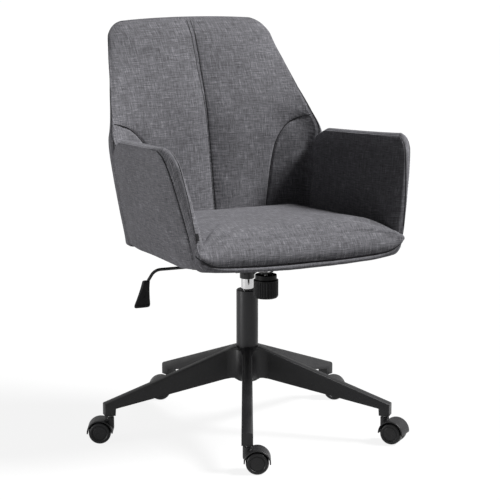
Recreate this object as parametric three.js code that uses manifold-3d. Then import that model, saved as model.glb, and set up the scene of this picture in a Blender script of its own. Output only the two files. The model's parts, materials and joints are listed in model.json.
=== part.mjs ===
// Upholstered swivel office chair: tub seat, rocking mechanism, gas column, five-arm base, twin-wheel casters.
// Millimetres, +Z up, the sitter faces -Y.  Modelled about the column axis; the finished group is moved so
// that its origin is the centre of its footprint on the floor.
import * as THREE from "three";
import { mergeVertices } from "three/addons/utils/BufferGeometryUtils.js";
import Module from "manifold-3d";

const wasm = await Module();
wasm.setup();

// ---------------------------------------------------------------- driving dimensions
const FIT = 0.3; // clearance between pieces that seat on each other
const RUN = 0.5; // clearance between pieces that move past each other

// facets of the round parts
const HUB_SIDES = 25;
const COLUMN_SIDES = 20;
const KNOB_SIDES = 20;
const SMALL_SIDES = 14;
const PIN_SIDES = 10;
const AXLE_SIDES = 8;
const WHEEL_SIDES = 20;

// casters
const WHEEL_RADIUS = 25;
const WHEEL_WIDTH = 20;
const WHEEL_INNER = 4.6; // near face of a wheel from the mid-plane
const WHEEL_RIM = 9; // width of the ring round the recessed outer face
const WHEEL_ROUND = 4;
const WHEEL_RECESS = 1.6;
const CASTER_TRAIL = 21.5;
const HOOD_GAP = 1.6;
const HOOD_WALL = 2.8;
const HOOD_WIDTH = 48;
const HOOD_ENDS = [-4, 181]; // degrees round the axle between which the fender runs
const HOOD_WEB = 8;
const HOOD_BOSS = 20;
const HOOD_TOP = WHEEL_RADIUS + 33;
const STEM_DIAMETER = 11;
const STEM_LOWER = 8;
const STEM_BOTTOM = WHEEL_RADIUS + 8;
const STEM_COLLAR = 2;
const STEM_SHOULDER = 1.5; // how far the stem's collar stands out
const AXLE_DIAMETER = 6;
const AXLE_LENGTH = 38;
const CASTER_HEADINGS = [-25, -50, -25, 155, 155]; // degrees, in the order of the arms

// star base
const ARM_COUNT = 5;
const BASE_TURN = -25; // degrees that the front arm is turned from straight ahead
const STEM_CIRCLE = 327; // radius of the caster stems
const ARM_WIDTH_HUB = 22;
const ARM_WIDTH_TIP = 25;
const ARM_WALL = 3;
const ARM_EDGE = 4; // bevel along the top edges of an arm
const ARM_RIB_PITCH = 40;
const RIB = 2.4;
const SOCKET_BOTTOM = HOOD_TOP + 2 * STEM_COLLAR;
const SOCKET_DEPTH = 24;
const TIP_BOTTOM = SOCKET_BOTTOM + 14; // underside of the arm where it meets the socket block
const TIP_TOP = SOCKET_BOTTOM + 28;
const TIP_OVERHANG = 12.5; // arm end past the stem
const TIP_BLOCK = 11; // socket block inwards of the stem
const ARM_CLIMB = 108; // from the top of the tip to the top of the hub
const HUB_TOP = TIP_TOP + ARM_CLIMB;
const HUB_FLAT = 34; // radius of the level part of the hub top
const HUB_HEIGHT = 68;
const HUB_BOTTOM = HUB_TOP - HUB_HEIGHT;
const HUB_FILLET = 30; // between neighbouring arms, in plan

// column
const TUBE_DIAMETER = 50;
const TUBE_WALL = 2;
const TUBE_SHOWN = 132; // above the hub
const TUBE_TOP = HUB_TOP + TUBE_SHOWN;
const TUBE_BOTTOM = HUB_BOTTOM - 12;
const TUBE_FOOT_DIAMETER = 47.5; // small end of the taper that sits in the hub
const TUBE_FLOOR = 3;
const BUSH_LENGTH = 72;
const BUSH_LIP = 1.6;
const CYLINDER_DIAMETER = 28;
const CYLINDER_TAPER_TOP = 26.4;
const CYLINDER_SHOWN = 27; // between the tube and the socket of the mechanism
const CYLINDER_BORE = 22;
const CYLINDER_GLAND = 24; // solid end that guides the rod
const CYLINDER_CHAMBER = 126;
const ROD_DIAMETER = 10;
const ROD_NECK = 8;
const PISTON_LENGTH = 12;
const BEARING_DIAMETER = 30;
const BEARING_HEIGHT = 7;
const BUMPER_DIAMETER = 26;
const BUMPER_HEIGHT = 20;
const CLIP_DIAMETER = 17;
const CLIP_THICKNESS = 1.4;
const PIN_DIAMETER = 6;
const PIN_LENGTH = 24;

// rocking mechanism
const SOCKET_COLLAR_DIAMETER = 34;
const COLLAR_BOTTOM = TUBE_TOP + CYLINDER_SHOWN;
const COLLAR_HEIGHT = 28;
const PAN_BOTTOM = COLLAR_BOTTOM + COLLAR_HEIGHT;
const PAN_PLATE = 3;
const PAN_HALF_WIDTH = 58;
const PAN_REAR = 62;
const PAN_STEP = -66; // where the pan rises to the nose
const NOSE_FRONT = -119;
const NOSE_RISE = 21;
const NOSE_BOTTOM = PAN_BOTTOM + NOSE_RISE;
const PAN_DEPTH = 33;
const PAN_WALL_TOP = PAN_BOTTOM + PAN_DEPTH;
const PAN_REAR_TOP = PAN_BOTTOM + PAN_DEPTH / 3;
const PIVOT_Y = -40;
const PIVOT_Z = PAN_BOTTOM + 23;
const PIVOT_DIAMETER = 10;
const PIVOT_HEAD = 16;
const MECHANISM_HEIGHT = 47; // from the pan to the seat board
const SEAT_BOTTOM = PAN_BOTTOM + MECHANISM_HEIGHT;
const BRACKET_PLATE = 3;
const BRACKET_BOTTOM = SEAT_BOTTOM - FIT - BRACKET_PLATE;
const BRACKET_HALF_WIDTH = 92;
const BRACKET_FRONT = -125;
const BRACKET_REAR = 76;
const BRACKET_CHAMFER = 24;
const BRACKET_WINDOW = 30; // half width of the opening over the release pin
const SCREW_X = 76;
const SCREW_FRONT = -106;
const SCREW_REAR = 56;
const SCREW_DIAMETER = 6;
const SCREW_HEAD = 13;
const SCREW_HEAD_HEIGHT = 4;
const SCREW_LENGTH = 12;
const SCREW_KEY = 4.4;

// tilt tension
const BOLT_Y = -99;
const BOLT_DIAMETER = 10;
const BOLT_HEAD = 18;
const BOLT_HEAD_HEIGHT = 7;
const KNOB_DIAMETER = 57;
const KNOB_HEIGHT = 53;
const KNOB_NECK = 22; // between the knob and the nose of the pan
const KNOB_BOTTOM = NOSE_BOTTOM - KNOB_NECK - KNOB_HEIGHT;
const BOLT_BOTTOM = KNOB_BOTTOM + 6;
const KNOB_LOBES = 14;
const KNOB_LOBE_DEPTH = 2.6;
const KNOB_ROUND = 5;
const KNOB_SHOULDER = 3.5;
const KNOB_FLOOR = 12;
const KNOB_CAVITY = 44;
const KNOB_BOSS = 20;
const KNOB_BOSS_HEIGHT = 16;
const CUP_THICKNESS = 2;
const SPRING_DIAMETER = 34;
const SPRING_WIRE = 4;
const SPRING_COILS = 5;

// height lever
const LEVER_Z = PAN_BOTTOM + 14;
const LEVER_DIAMETER = 7;
const LEVER_INNER_END = 15;
const LEVER_STRAIGHT = -76;
const LEVER_JOG = -112;
const LEVER_Y = -20;
const LEVER_OUTER = -240;
const LEVER_DROP_X = -257;
const LEVER_DROP_Z = LEVER_Z - 31;
const LEVER_BEND = 9;
const LEVER_IN_PADDLE = 34;
const BUSH_COLLAR = 18;
const BUSH_BODY = 14;
const BUSH_STANDOFF = 0.8; // lets the collar rock against the pan
const PADDLE_LENGTH = 60;
const PADDLE_TOP = LEVER_DROP_Z + 9;
const PADDLE_BOTTOM = PADDLE_TOP - PADDLE_LENGTH;
const PADDLE_TOP_WIDTH = 17;
const PADDLE_BOTTOM_WIDTH = 38;
const PADDLE_SET = 1; // offset of the paddle's middle from the wire at its top
const PADDLE_SPREAD = 11; // how far that middle moves outwards by the bottom
const PADDLE_THICKNESS = 13;
const PADDLE_TIP_THICKNESS = 9;
const LOCK_PLATE = 3;
const LOCK_RIGHT = -17;
const LOCK_LEFT = -42;
const LOCK_FRONT = -30;
const LOCK_REAR = -8;
const LOCK_POST = 14;

// seat
const BOARD = 12;
const COVER_SHEET = 1.4;
const COVER_INSET = 8;
const SEAT_FRONT = -283;
const CUSHION_HEIGHT = 76; // of the front of the cushion above the underside of the board
const CUSHION_FRONT_TOP = SEAT_BOTTOM + CUSHION_HEIGHT;
const CUSHION_FALL = 24; // drop of the cushion top from front to back, along its edge
const CUSHION_CROWN = 14;
const CROWN_REACH = 130; // from the edge of the cushion to its crown
const CUSHION_MIDDLE = -55; // of the crown
const CUSHION_ROUND = 22;
const SEAT_BACK_REACH = 128; // rear end of the board inside the arms
const RAIL_HEIGHT = 12;
const RAIL_TOP = SEAT_BOTTOM + RAIL_HEIGHT;
const RAIL_RISE = 11;
const RAIL_SWEEP = 36;
const RAIL_DEPTH = 20;
const BOARD_CORNER = 64; // cut across each front corner of the board

// back
const SHELL_DROP = 3; // of the tub's shell below the board
const BACK_BOTTOM = SEAT_BOTTOM - SHELL_DROP;
const BACK_HEIGHT = 501;
const BACK_TOP = BACK_BOTTOM + BACK_HEIGHT;
const BACK_HALF_WIDTH = 268;
const BACK_FOOT = 188; // middle of the shell behind the column axis, at the bottom
const BACK_RECLINE = 158; // how much further back the top is
const BACK_THICKNESS = 60;
const BACK_SIDE_THICKNESS = 40;
const BACK_CORNER = 27;
const BACK_TOP_CROWN = 5;
const BACK_RIM = 16;
const RIM_GAP = 1.2; // between the rear panel and the padded rim round it
const BACK_EDGE_ROUND = 14;
const WRAP_POWER = 3.7; // how late the back starts to curl forward
// Sections of the back from bottom to top, as shares of the sizes above: height, half width, recline,
// thickness at the centre and at the side; and the angle by which the side curls forward.
const BACK_SECTIONS = [
  { rise: 0, half: 0.907, lean: 0, thick: 0.967, edge: 0.8, wrap: 90 },
  { rise: 0.152, half: 0.944, lean: 0.095, thick: 1, edge: 0.775, wrap: 90 },
  { rise: 0.301, half: 0.981, lean: 0.184, thick: 1, edge: 0.75, wrap: 90 },
  { rise: 0.471, half: 1, lean: 0.285, thick: 1, edge: 0.75, wrap: 90 },
  { rise: 0.565, half: 0.963, lean: 0.354, thick: 0.967, edge: 0.8, wrap: 72 },
  { rise: 0.671, half: 0.91, lean: 0.481, thick: 0.933, edge: 0.85, wrap: 48 },
  { rise: 0.804, half: 0.843, lean: 0.677, thick: 0.883, edge: 0.925, wrap: 26 },
  { rise: 0.92, half: 0.776, lean: 0.867, thick: 0.833, edge: 1, wrap: 8 },
  { rise: 1, half: 0.731, lean: 1, thick: 0.8, edge: 1, wrap: 0 },
];

// arms
const ARM_FRONT_BOTTOM = SEAT_BOTTOM + RAIL_RISE;
const ARM_HEIGHT = 250;
const ARM_FRONT_TOP = ARM_FRONT_BOTTOM + ARM_HEIGHT;
const ARM_FALL = 23; // of the top line from front to back
const ARM_REAR_TOP = ARM_FRONT_TOP - ARM_FALL;
const ARM_BOTTOM = SEAT_BOTTOM - 2;
const ARM_FOOT_RISE = 4; // the foot line is level after a quarter of the arm's length
const ARM_REAR_DIP = 14; // drop of the top line where the arm meets the back
const ARM_DIP_START = 0.93;
const ARM_FRONT = SEAT_FRONT - 2;
const ARM_LEAN = 50; // how far the front edge lies back at the top
const ARM_LEAN_POWER = 2.2;
const ARM_FRONT_HALF_BOTTOM = 249;
const ARM_FRONT_HALF_TOP = 299;
const ARM_THICK_BOTTOM = 37;
const ARM_THICK_TOP = 28;
const FRAME_INNER = 0.36; // frame panel inside the padding, as shares of its depth
const FRAME_OUTER = 0.64;
const BACK_PAD_SHARE = 0.5;
const BACK_FRAME_SHARE = 0.72;

// ---------------------------------------------------------------- materials
const material = (color, roughness, metalness) =>
  new THREE.MeshStandardMaterial({ color, roughness, metalness });
const FABRIC = material(0x4b4c50, 0.95, 0);
const LINING = material(0x1b1b1d, 0.95, 0);
const PLYWOOD = material(0xb58c5a, 0.7, 0);
const NYLON = material(0x17181a, 0.55, 0);
const TREAD = material(0x222325, 0.6, 0);
const RUBBER = material(0x121212, 0.9, 0);
const PAINTED = material(0x141516, 0.45, 0.3);
const CHROME = material(0xc8ccd0, 0.15, 1);
const STEEL = material(0x9a9da1, 0.35, 1);

// ---------------------------------------------------------------- solid helpers
const radians = (degrees) => (degrees * Math.PI) / 180;
const lerp = (a, b, t) => a + (b - a) * t;

// three.js geometry to a manifold-3d solid, turned to face outwards.
function solid(geometry) {
  const bare = geometry.clone();
  bare.deleteAttribute("normal");
  bare.deleteAttribute("uv");
  const merged = mergeVertices(bare, 1e-4);
  const corners = new Uint32Array(merged.index.array);
  const make = (triVerts) =>
    new wasm.Manifold(
      new wasm.Mesh({
        numProp: 3,
        vertProperties: new Float32Array(merged.attributes.position.array),
        triVerts,
      }),
    );
  const made = make(corners);
  if (made.volume() >= 0) return made;
  for (let i = 0; i < corners.length; i += 3) {
    const swap = corners[i];
    corners[i] = corners[i + 1];
    corners[i + 1] = swap;
  }
  return make(corners);
}

function geometryOf(shape) {
  const mesh = shape.getMesh();
  const geometry = new THREE.BufferGeometry();
  const points = new Float32Array(mesh.numVert * 3);
  for (let i = 0; i < mesh.numVert; i += 1) {
    for (let k = 0; k < 3; k += 1) {
      points[3 * i + k] = mesh.vertProperties[mesh.numProp * i + k];
    }
  }
  geometry.setAttribute("position", new THREE.BufferAttribute(points, 3));
  geometry.setIndex(new THREE.BufferAttribute(new Uint32Array(mesh.triVerts), 1));
  const flat = geometry.toNonIndexed();
  flat.computeVertexNormals();
  return flat;
}

const union = (...shapes) => shapes.reduce((a, b) => a.add(b));
const cut = (shape, ...tools) => tools.reduce((a, b) => a.subtract(b), shape);

const box = (x0, x1, y0, y1, z0, z1) =>
  solid(
    new THREE.BoxGeometry(x1 - x0, y1 - y0, z1 - z0).translate(
      (x0 + x1) / 2,
      (y0 + y1) / 2,
      (z0 + z1) / 2,
    ),
  );

// Revolves a closed outline of [radius, height] pairs about the Z axis.
function revolve(outline, segments) {
  const points = outline.map(([r, z]) => new THREE.Vector2(r, z));
  points.push(points[0].clone());
  const lathe = new THREE.LatheGeometry(points, segments);
  lathe.rotateX(Math.PI / 2);
  lathe.rotateZ(Math.PI / segments);
  return solid(lathe);
}

const ring = (inner, outer, z0, z1, segments) =>
  revolve([[inner, z0], [outer, z0], [outer, z1], [inner, z1]], segments);

const disc = (radius, z0, z1, segments) =>
  revolve([[0, z0], [radius, z0], [radius, z1], [0, z1]], segments);

// A round bar along Y, used for holes and for the caster axles.
const barY = (radius, y0, y1, x, z, segments) =>
  disc(radius, -y1, -y0, segments).rotate([90, 0, 0]).translate([x, 0, z]);

const barX = (radius, x0, x1, y, z, segments) =>
  disc(radius, x0, x1, segments).rotate([0, 90, 0]).translate([0, y, z]);

// Extrudes a plan outline of [x, y] pairs between two heights.
function prism(outline, z0, z1) {
  const shape = new THREE.Shape(outline.map(([x, y]) => new THREE.Vector2(x, y)));
  const geometry = new THREE.ExtrudeGeometry(shape, {
    depth: z1 - z0,
    bevelEnabled: false,
    curveSegments: 6,
  });
  return solid(geometry.translate(0, 0, z0));
}

// Extrudes a side outline of [y, z] pairs between two values of x.
const sidePrism = (outline, x0, x1) =>
  prism(outline, x0, x1)
    .rotate([90, 0, 0])
    .rotate([0, 0, 90]);

// Lofts closed rings that all have the same number of points; the ends are fans about their centres.
function loft(rings) {
  const points = [];
  const faces = [];
  const count = rings[0].length;
  rings.forEach((line) => line.forEach((p) => points.push(...p)));
  for (let r = 0; r + 1 < rings.length; r += 1) {
    for (let i = 0; i < count; i += 1) {
      const a = r * count + i;
      const b = r * count + ((i + 1) % count);
      faces.push(a, b, b + count, a, b + count, a + count);
    }
  }
  const cap = (start, line, flip) => {
    const centre = points.length / 3;
    for (let k = 0; k < 3; k += 1) {
      points.push(line.reduce((sum, p) => sum + p[k], 0) / count);
    }
    for (let i = 0; i < count; i += 1) {
      const a = start + i;
      const b = start + ((i + 1) % count);
      faces.push(...(flip ? [centre, b, a] : [centre, a, b]));
    }
  };
  cap(0, rings[0], true);
  cap((rings.length - 1) * count, rings[rings.length - 1], false);
  return solid(meshOf(points, faces));
}

function meshOf(points, faces) {
  const geometry = new THREE.BufferGeometry();
  geometry.setAttribute("position", new THREE.Float32BufferAttribute(points, 3));
  geometry.setIndex(faces);
  return geometry;
}

// A thick sheet between two grids of points, near[row][column] and far[row][column].
function slab(near, far) {
  const rows = near.length;
  const columns = near[0].length;
  const points = [...near.flat(), ...far.flat()].flat();
  const faces = [];
  const top = rows - 1;
  const side = columns - 1;
  const at = (face, r, c) => face * rows * columns + r * columns + c;
  const quad = (a, b, c, d) => faces.push(a, b, c, a, c, d);
  for (let r = 0; r + 1 < rows; r += 1) {
    for (let c = 0; c + 1 < columns; c += 1) {
      quad(at(0, r, c), at(0, r, c + 1), at(0, r + 1, c + 1), at(0, r + 1, c));
      quad(at(1, r, c), at(1, r + 1, c), at(1, r + 1, c + 1), at(1, r, c + 1));
    }
  }
  for (let c = 0; c + 1 < columns; c += 1) {
    quad(at(1, 0, c), at(1, 0, c + 1), at(0, 0, c + 1), at(0, 0, c));
    quad(at(0, top, c), at(0, top, c + 1), at(1, top, c + 1), at(1, top, c));
  }
  for (let r = 0; r + 1 < rows; r += 1) {
    quad(at(0, r, 0), at(0, r + 1, 0), at(1, r + 1, 0), at(1, r, 0));
    quad(at(1, r, side), at(1, r + 1, side), at(0, r + 1, side), at(0, r, side));
  }
  return solid(meshOf(points, faces));
}

const steps = (count) => Array.from({ length: count + 1 }, (_, i) => i / count);

// ---------------------------------------------------------------- star base
const armTop = (r) =>
  lerp(HUB_TOP, TIP_TOP, (r - HUB_FLAT) / (STEM_CIRCLE + TIP_OVERHANG - HUB_FLAT));
const armUnder = (r) => lerp(HUB_BOTTOM, TIP_BOTTOM, (r - HUB_FLAT) / (STEM_CIRCLE - HUB_FLAT));
const armHalf = (r) => lerp(ARM_WIDTH_HUB, ARM_WIDTH_TIP, r / STEM_CIRCLE) / 2;
const tubeRadius = (z) =>
  lerp(TUBE_FOOT_DIAMETER, TUBE_DIAMETER, Math.min(1, (z - TUBE_BOTTOM) / (HUB_TOP - TUBE_BOTTOM))) / 2;
const HUB_BOSS = TUBE_DIAMETER / 2 + FIT + 4; // radius of the wall round the column

// One arm lies along +X.
function armBody() {
  const section = (r, under) => {
    const half = armHalf(r);
    const top = armTop(r);
    return [
      [r, -half, under],
      [r, half, under],
      [r, half, top - ARM_EDGE],
      [r, half - ARM_EDGE / 3, top - ARM_EDGE / 3],
      [r, half - ARM_EDGE, top],
      [r, -half + ARM_EDGE, top],
      [r, -half + ARM_EDGE / 3, top - ARM_EDGE / 3],
      [r, -half, top - ARM_EDGE],
    ];
  };
  const root = HUB_BOSS;
  const blockStart = STEM_CIRCLE - TIP_BLOCK;
  const end = STEM_CIRCLE + TIP_OVERHANG;
  return loft([
    section(root, armUnder(root)),
    section(blockStart - ARM_WALL / 3, armUnder(blockStart)),
    section(blockStart, SOCKET_BOTTOM),
    section(end, SOCKET_BOTTOM),
  ]);
}

// The pockets under an arm, between its walls and cross ribs.
function armPockets() {
  const first = HUB_BOSS + RIB * 2;
  const last = STEM_CIRCLE - TIP_BLOCK - ARM_WALL * 5;
  const count = Math.round((last - first) / ARM_RIB_PITCH);
  const pitch = (last - first) / count;
  return steps(count - 1).map((_, i) => {
    const ends = [first + i * pitch + RIB / 2, first + (i + 1) * pitch - RIB / 2];
    return loft(
      ends.map((r) => {
        const half = armHalf(r) - ARM_WALL;
        const top = armTop(r) - ARM_WALL - ARM_EDGE / 2;
        const under = SOCKET_BOTTOM - 1;
        return [[r, -half, under], [r, half, under], [r, half, top], [r, -half, top]];
      }),
    );
  });
}

// Plan outline of the hub: five arm roots joined by hollow fillets.
function hubOutline(inset) {
  const half = ARM_WIDTH_HUB / 2 - inset;
  const fillet = HUB_FILLET + inset;
  const between = Math.PI / ARM_COUNT;
  const centre = (half + fillet) / Math.sin(between);
  const outline = [];
  for (let arm = 0; arm < ARM_COUNT; arm += 1) {
    const bisector = (2 * arm + 1) * between;
    const cx = centre * Math.cos(bisector);
    const cy = centre * Math.sin(bisector);
    const sweep = Math.PI / 2 - between;
    for (const t of steps(4)) {
      const angle = bisector + Math.PI - sweep + 2 * sweep * (1 - t);
      outline.push([cx + fillet * Math.cos(angle), cy + fillet * Math.sin(angle)]);
    }
  }
  return outline;
}

function starBase() {
  const turn = (shape, arm) =>
    shape.rotate([0, 0, BASE_TURN - 90 + (arm * 360) / ARM_COUNT]);
  const hubReach = HUB_BOSS + HUB_FILLET * 2;
  const hubPlan = prism(hubOutline(0), HUB_BOTTOM - 12, HUB_TOP);
  const hubSide = revolve(
    [
      [0, HUB_BOTTOM - 8],
      [HUB_BOSS, HUB_BOTTOM - 8],
      [HUB_BOSS + 1, armUnder(HUB_BOSS)],
      [hubReach, armUnder(hubReach)],
      [hubReach, armTop(hubReach)],
      [HUB_FLAT + 5, armTop(HUB_FLAT + 5)],
      [HUB_FLAT, HUB_TOP - 0.6],
      [HUB_FLAT - 2, HUB_TOP],
      [0, HUB_TOP],
    ],
    HUB_SIDES,
  );
  let body = turn(hubPlan, 0).intersect(hubSide);
  const boss = disc(HUB_BOSS, HUB_BOTTOM - 8, HUB_TOP - ARM_WALL, HUB_SIDES);
  const hollow = turn(prism(hubOutline(ARM_WALL), HUB_BOTTOM - 20, HUB_TOP), 0).intersect(
    revolve(
      [
        [HUB_BOSS, HUB_BOTTOM - 20],
        [hubReach, HUB_BOTTOM - 20],
        [hubReach, armTop(hubReach) - ARM_WALL * 2],
        [HUB_BOSS, armTop(HUB_BOSS) - ARM_WALL * 2],
      ],
      HUB_SIDES,
    ),
  );
  body = cut(body, hollow).add(boss);
  for (let arm = 0; arm < ARM_COUNT; arm += 1) {
    body = body.add(turn(armBody(), arm));
  }
  const stemHole = STEM_DIAMETER / 2 + FIT;
  const socketTop = SOCKET_BOTTOM + SOCKET_DEPTH;
  const socket = disc(stemHole, SOCKET_BOTTOM - 1, socketTop, PIN_SIDES).translate([STEM_CIRCLE, 0, 0]);
  for (let arm = 0; arm < ARM_COUNT; arm += 1) {
    body = cut(body, ...armPockets().map((pocket) => turn(pocket, arm)));
    body = cut(body, turn(socket, arm));
  }
  const bore = revolve(
    [
      [0, HUB_BOTTOM - 30],
      [tubeRadius(HUB_BOTTOM - 30) + FIT, HUB_BOTTOM - 30],
      [TUBE_DIAMETER / 2 + FIT, HUB_TOP],
      [TUBE_DIAMETER / 2 + FIT, HUB_TOP + 1],
      [0, HUB_TOP + 1],
    ],
    COLUMN_SIDES,
  );
  return cut(body, bore);
}

// ---------------------------------------------------------------- column
const FLOOR_TOP = TUBE_BOTTOM + TUBE_FLOOR;
const BEARING_BOTTOM = FLOOR_TOP + FIT;
const BEARING_TOP = BEARING_BOTTOM + BEARING_HEIGHT;
const BUMPER_BOTTOM = BEARING_TOP + FIT;
const CYLINDER_BOTTOM = BUMPER_BOTTOM + BUMPER_HEIGHT + FIT;
const CYLINDER_TOP = PAN_BOTTOM + PAN_PLATE + 2;
const CHAMBER_BOTTOM = CYLINDER_BOTTOM + CYLINDER_GLAND;
const CHAMBER_TOP = CHAMBER_BOTTOM + CYLINDER_CHAMBER;
const PISTON_TOP = CHAMBER_TOP - 4;
const TUBE_BORE = TUBE_DIAMETER / 2 - TUBE_WALL;
const CLIP_TOP = TUBE_BOTTOM - FIT;
const ROD_BOTTOM = CLIP_TOP - CLIP_THICKNESS - 4;
const PIN_TOP = LEVER_Z - LEVER_DIAMETER / 2 - FIT;

const columnTube = () =>
  revolve(
    [
      [ROD_NECK / 2 + RUN, TUBE_BOTTOM],
      [tubeRadius(TUBE_BOTTOM), TUBE_BOTTOM],
      [tubeRadius(HUB_TOP), HUB_TOP],
      [TUBE_DIAMETER / 2, TUBE_TOP - 1],
      [TUBE_DIAMETER / 2 - 1, TUBE_TOP],
      [TUBE_BORE, TUBE_TOP],
      [TUBE_BORE, HUB_TOP],
      [tubeRadius(TUBE_BOTTOM) - TUBE_WALL, FLOOR_TOP],
      [ROD_NECK / 2 + RUN, FLOOR_TOP],
    ],
    COLUMN_SIDES,
  );

const guideBush = () =>
  revolve(
    [
      [CYLINDER_DIAMETER / 2 + RUN, TUBE_TOP - BUSH_LENGTH],
      [TUBE_BORE - FIT, TUBE_TOP - BUSH_LENGTH],
      [TUBE_BORE - FIT, TUBE_TOP + FIT],
      [TUBE_BORE + 1, TUBE_TOP + FIT],
      [TUBE_BORE - 1, TUBE_TOP + FIT + BUSH_LIP],
      [CYLINDER_DIAMETER / 2 + RUN, TUBE_TOP + FIT + BUSH_LIP],
    ],
    COLUMN_SIDES,
  );

function thrustBearing() {
  const inner = ROD_NECK / 2 + RUN;
  const outer = BEARING_DIAMETER / 2;
  const race = BEARING_HEIGHT * 0.3;
  return revolve(
    [
      [inner, BEARING_BOTTOM],
      [outer, BEARING_BOTTOM],
      [outer, BEARING_BOTTOM + race],
      [outer - 2, BEARING_BOTTOM + race],
      [outer - 2, BEARING_TOP - race],
      [outer, BEARING_TOP - race],
      [outer, BEARING_TOP],
      [inner, BEARING_TOP],
    ],
    SMALL_SIDES,
  );
}

const rubberBumper = () =>
  revolve(
    [
      [ROD_DIAMETER / 2 + RUN, BUMPER_BOTTOM],
      [BUMPER_DIAMETER / 2, BUMPER_BOTTOM],
      [BUMPER_DIAMETER / 2, BUMPER_BOTTOM + BUMPER_HEIGHT * 0.6],
      [BUMPER_DIAMETER / 2 - 3, BUMPER_BOTTOM + BUMPER_HEIGHT],
      [ROD_DIAMETER / 2 + RUN, BUMPER_BOTTOM + BUMPER_HEIGHT],
    ],
    SMALL_SIDES,
  );

// Spring clip that snaps into the groove at the foot of the rod.
function retainingClip() {
  const bottom = CLIP_TOP - CLIP_THICKNESS;
  const plate = ring(ROD_NECK / 2 - 0.7, CLIP_DIAMETER / 2, bottom, CLIP_TOP, SMALL_SIDES);
  const mouth = ROD_NECK / 2 - 0.7;
  return cut(plate, box(0, CLIP_DIAMETER, -mouth, mouth, bottom - 1, CLIP_TOP + 1));
}

function pistonRod() {
  const groove = ROD_NECK / 2 - 1;
  return revolve(
    [
      [0, ROD_BOTTOM],
      [ROD_NECK / 2 - 0.6, ROD_BOTTOM],
      [ROD_NECK / 2, ROD_BOTTOM + 1],
      [ROD_NECK / 2, CLIP_TOP - CLIP_THICKNESS - FIT],
      [groove, CLIP_TOP - CLIP_THICKNESS - FIT],
      [groove, CLIP_TOP + FIT / 2],
      [ROD_NECK / 2, CLIP_TOP + FIT / 2],
      [ROD_NECK / 2, BEARING_TOP + FIT],
      [ROD_DIAMETER / 2, BEARING_TOP + FIT],
      [ROD_DIAMETER / 2, PISTON_TOP - PISTON_LENGTH],
      [CYLINDER_BORE / 2 - RUN, PISTON_TOP - PISTON_LENGTH],
      [CYLINDER_BORE / 2 - RUN, PISTON_TOP],
      [0, PISTON_TOP],
    ],
    SMALL_SIDES,
  );
}

function gasCylinder() {
  const radius = CYLINDER_DIAMETER / 2;
  const body = revolve(
    [
      [0, CYLINDER_BOTTOM],
      [radius - 1.5, CYLINDER_BOTTOM],
      [radius, CYLINDER_BOTTOM + 1.5],
      [radius, COLLAR_BOTTOM],
      [CYLINDER_TAPER_TOP / 2, CYLINDER_TOP - 1],
      [CYLINDER_TAPER_TOP / 2 - 1, CYLINDER_TOP],
      [0, CYLINDER_TOP],
    ],
    COLUMN_SIDES,
  );
  return cut(
    body,
    disc(ROD_DIAMETER / 2 + RUN, CYLINDER_BOTTOM - 1, CHAMBER_BOTTOM + 1, SMALL_SIDES),
    disc(CYLINDER_BORE / 2, CHAMBER_BOTTOM, CHAMBER_TOP, SMALL_SIDES),
    disc(PIN_DIAMETER / 2 + RUN, PIN_TOP - PIN_LENGTH - 6, CYLINDER_TOP + 1, PIN_SIDES),
  );
}

const releasePin = () =>
  revolve(
    [
      [0, PIN_TOP - PIN_LENGTH],
      [PIN_DIAMETER / 2, PIN_TOP - PIN_LENGTH],
      [PIN_DIAMETER / 2, PIN_TOP - 0.8],
      [PIN_DIAMETER / 2 - 0.8, PIN_TOP],
      [0, PIN_TOP],
    ],
    PIN_SIDES,
  );

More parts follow.
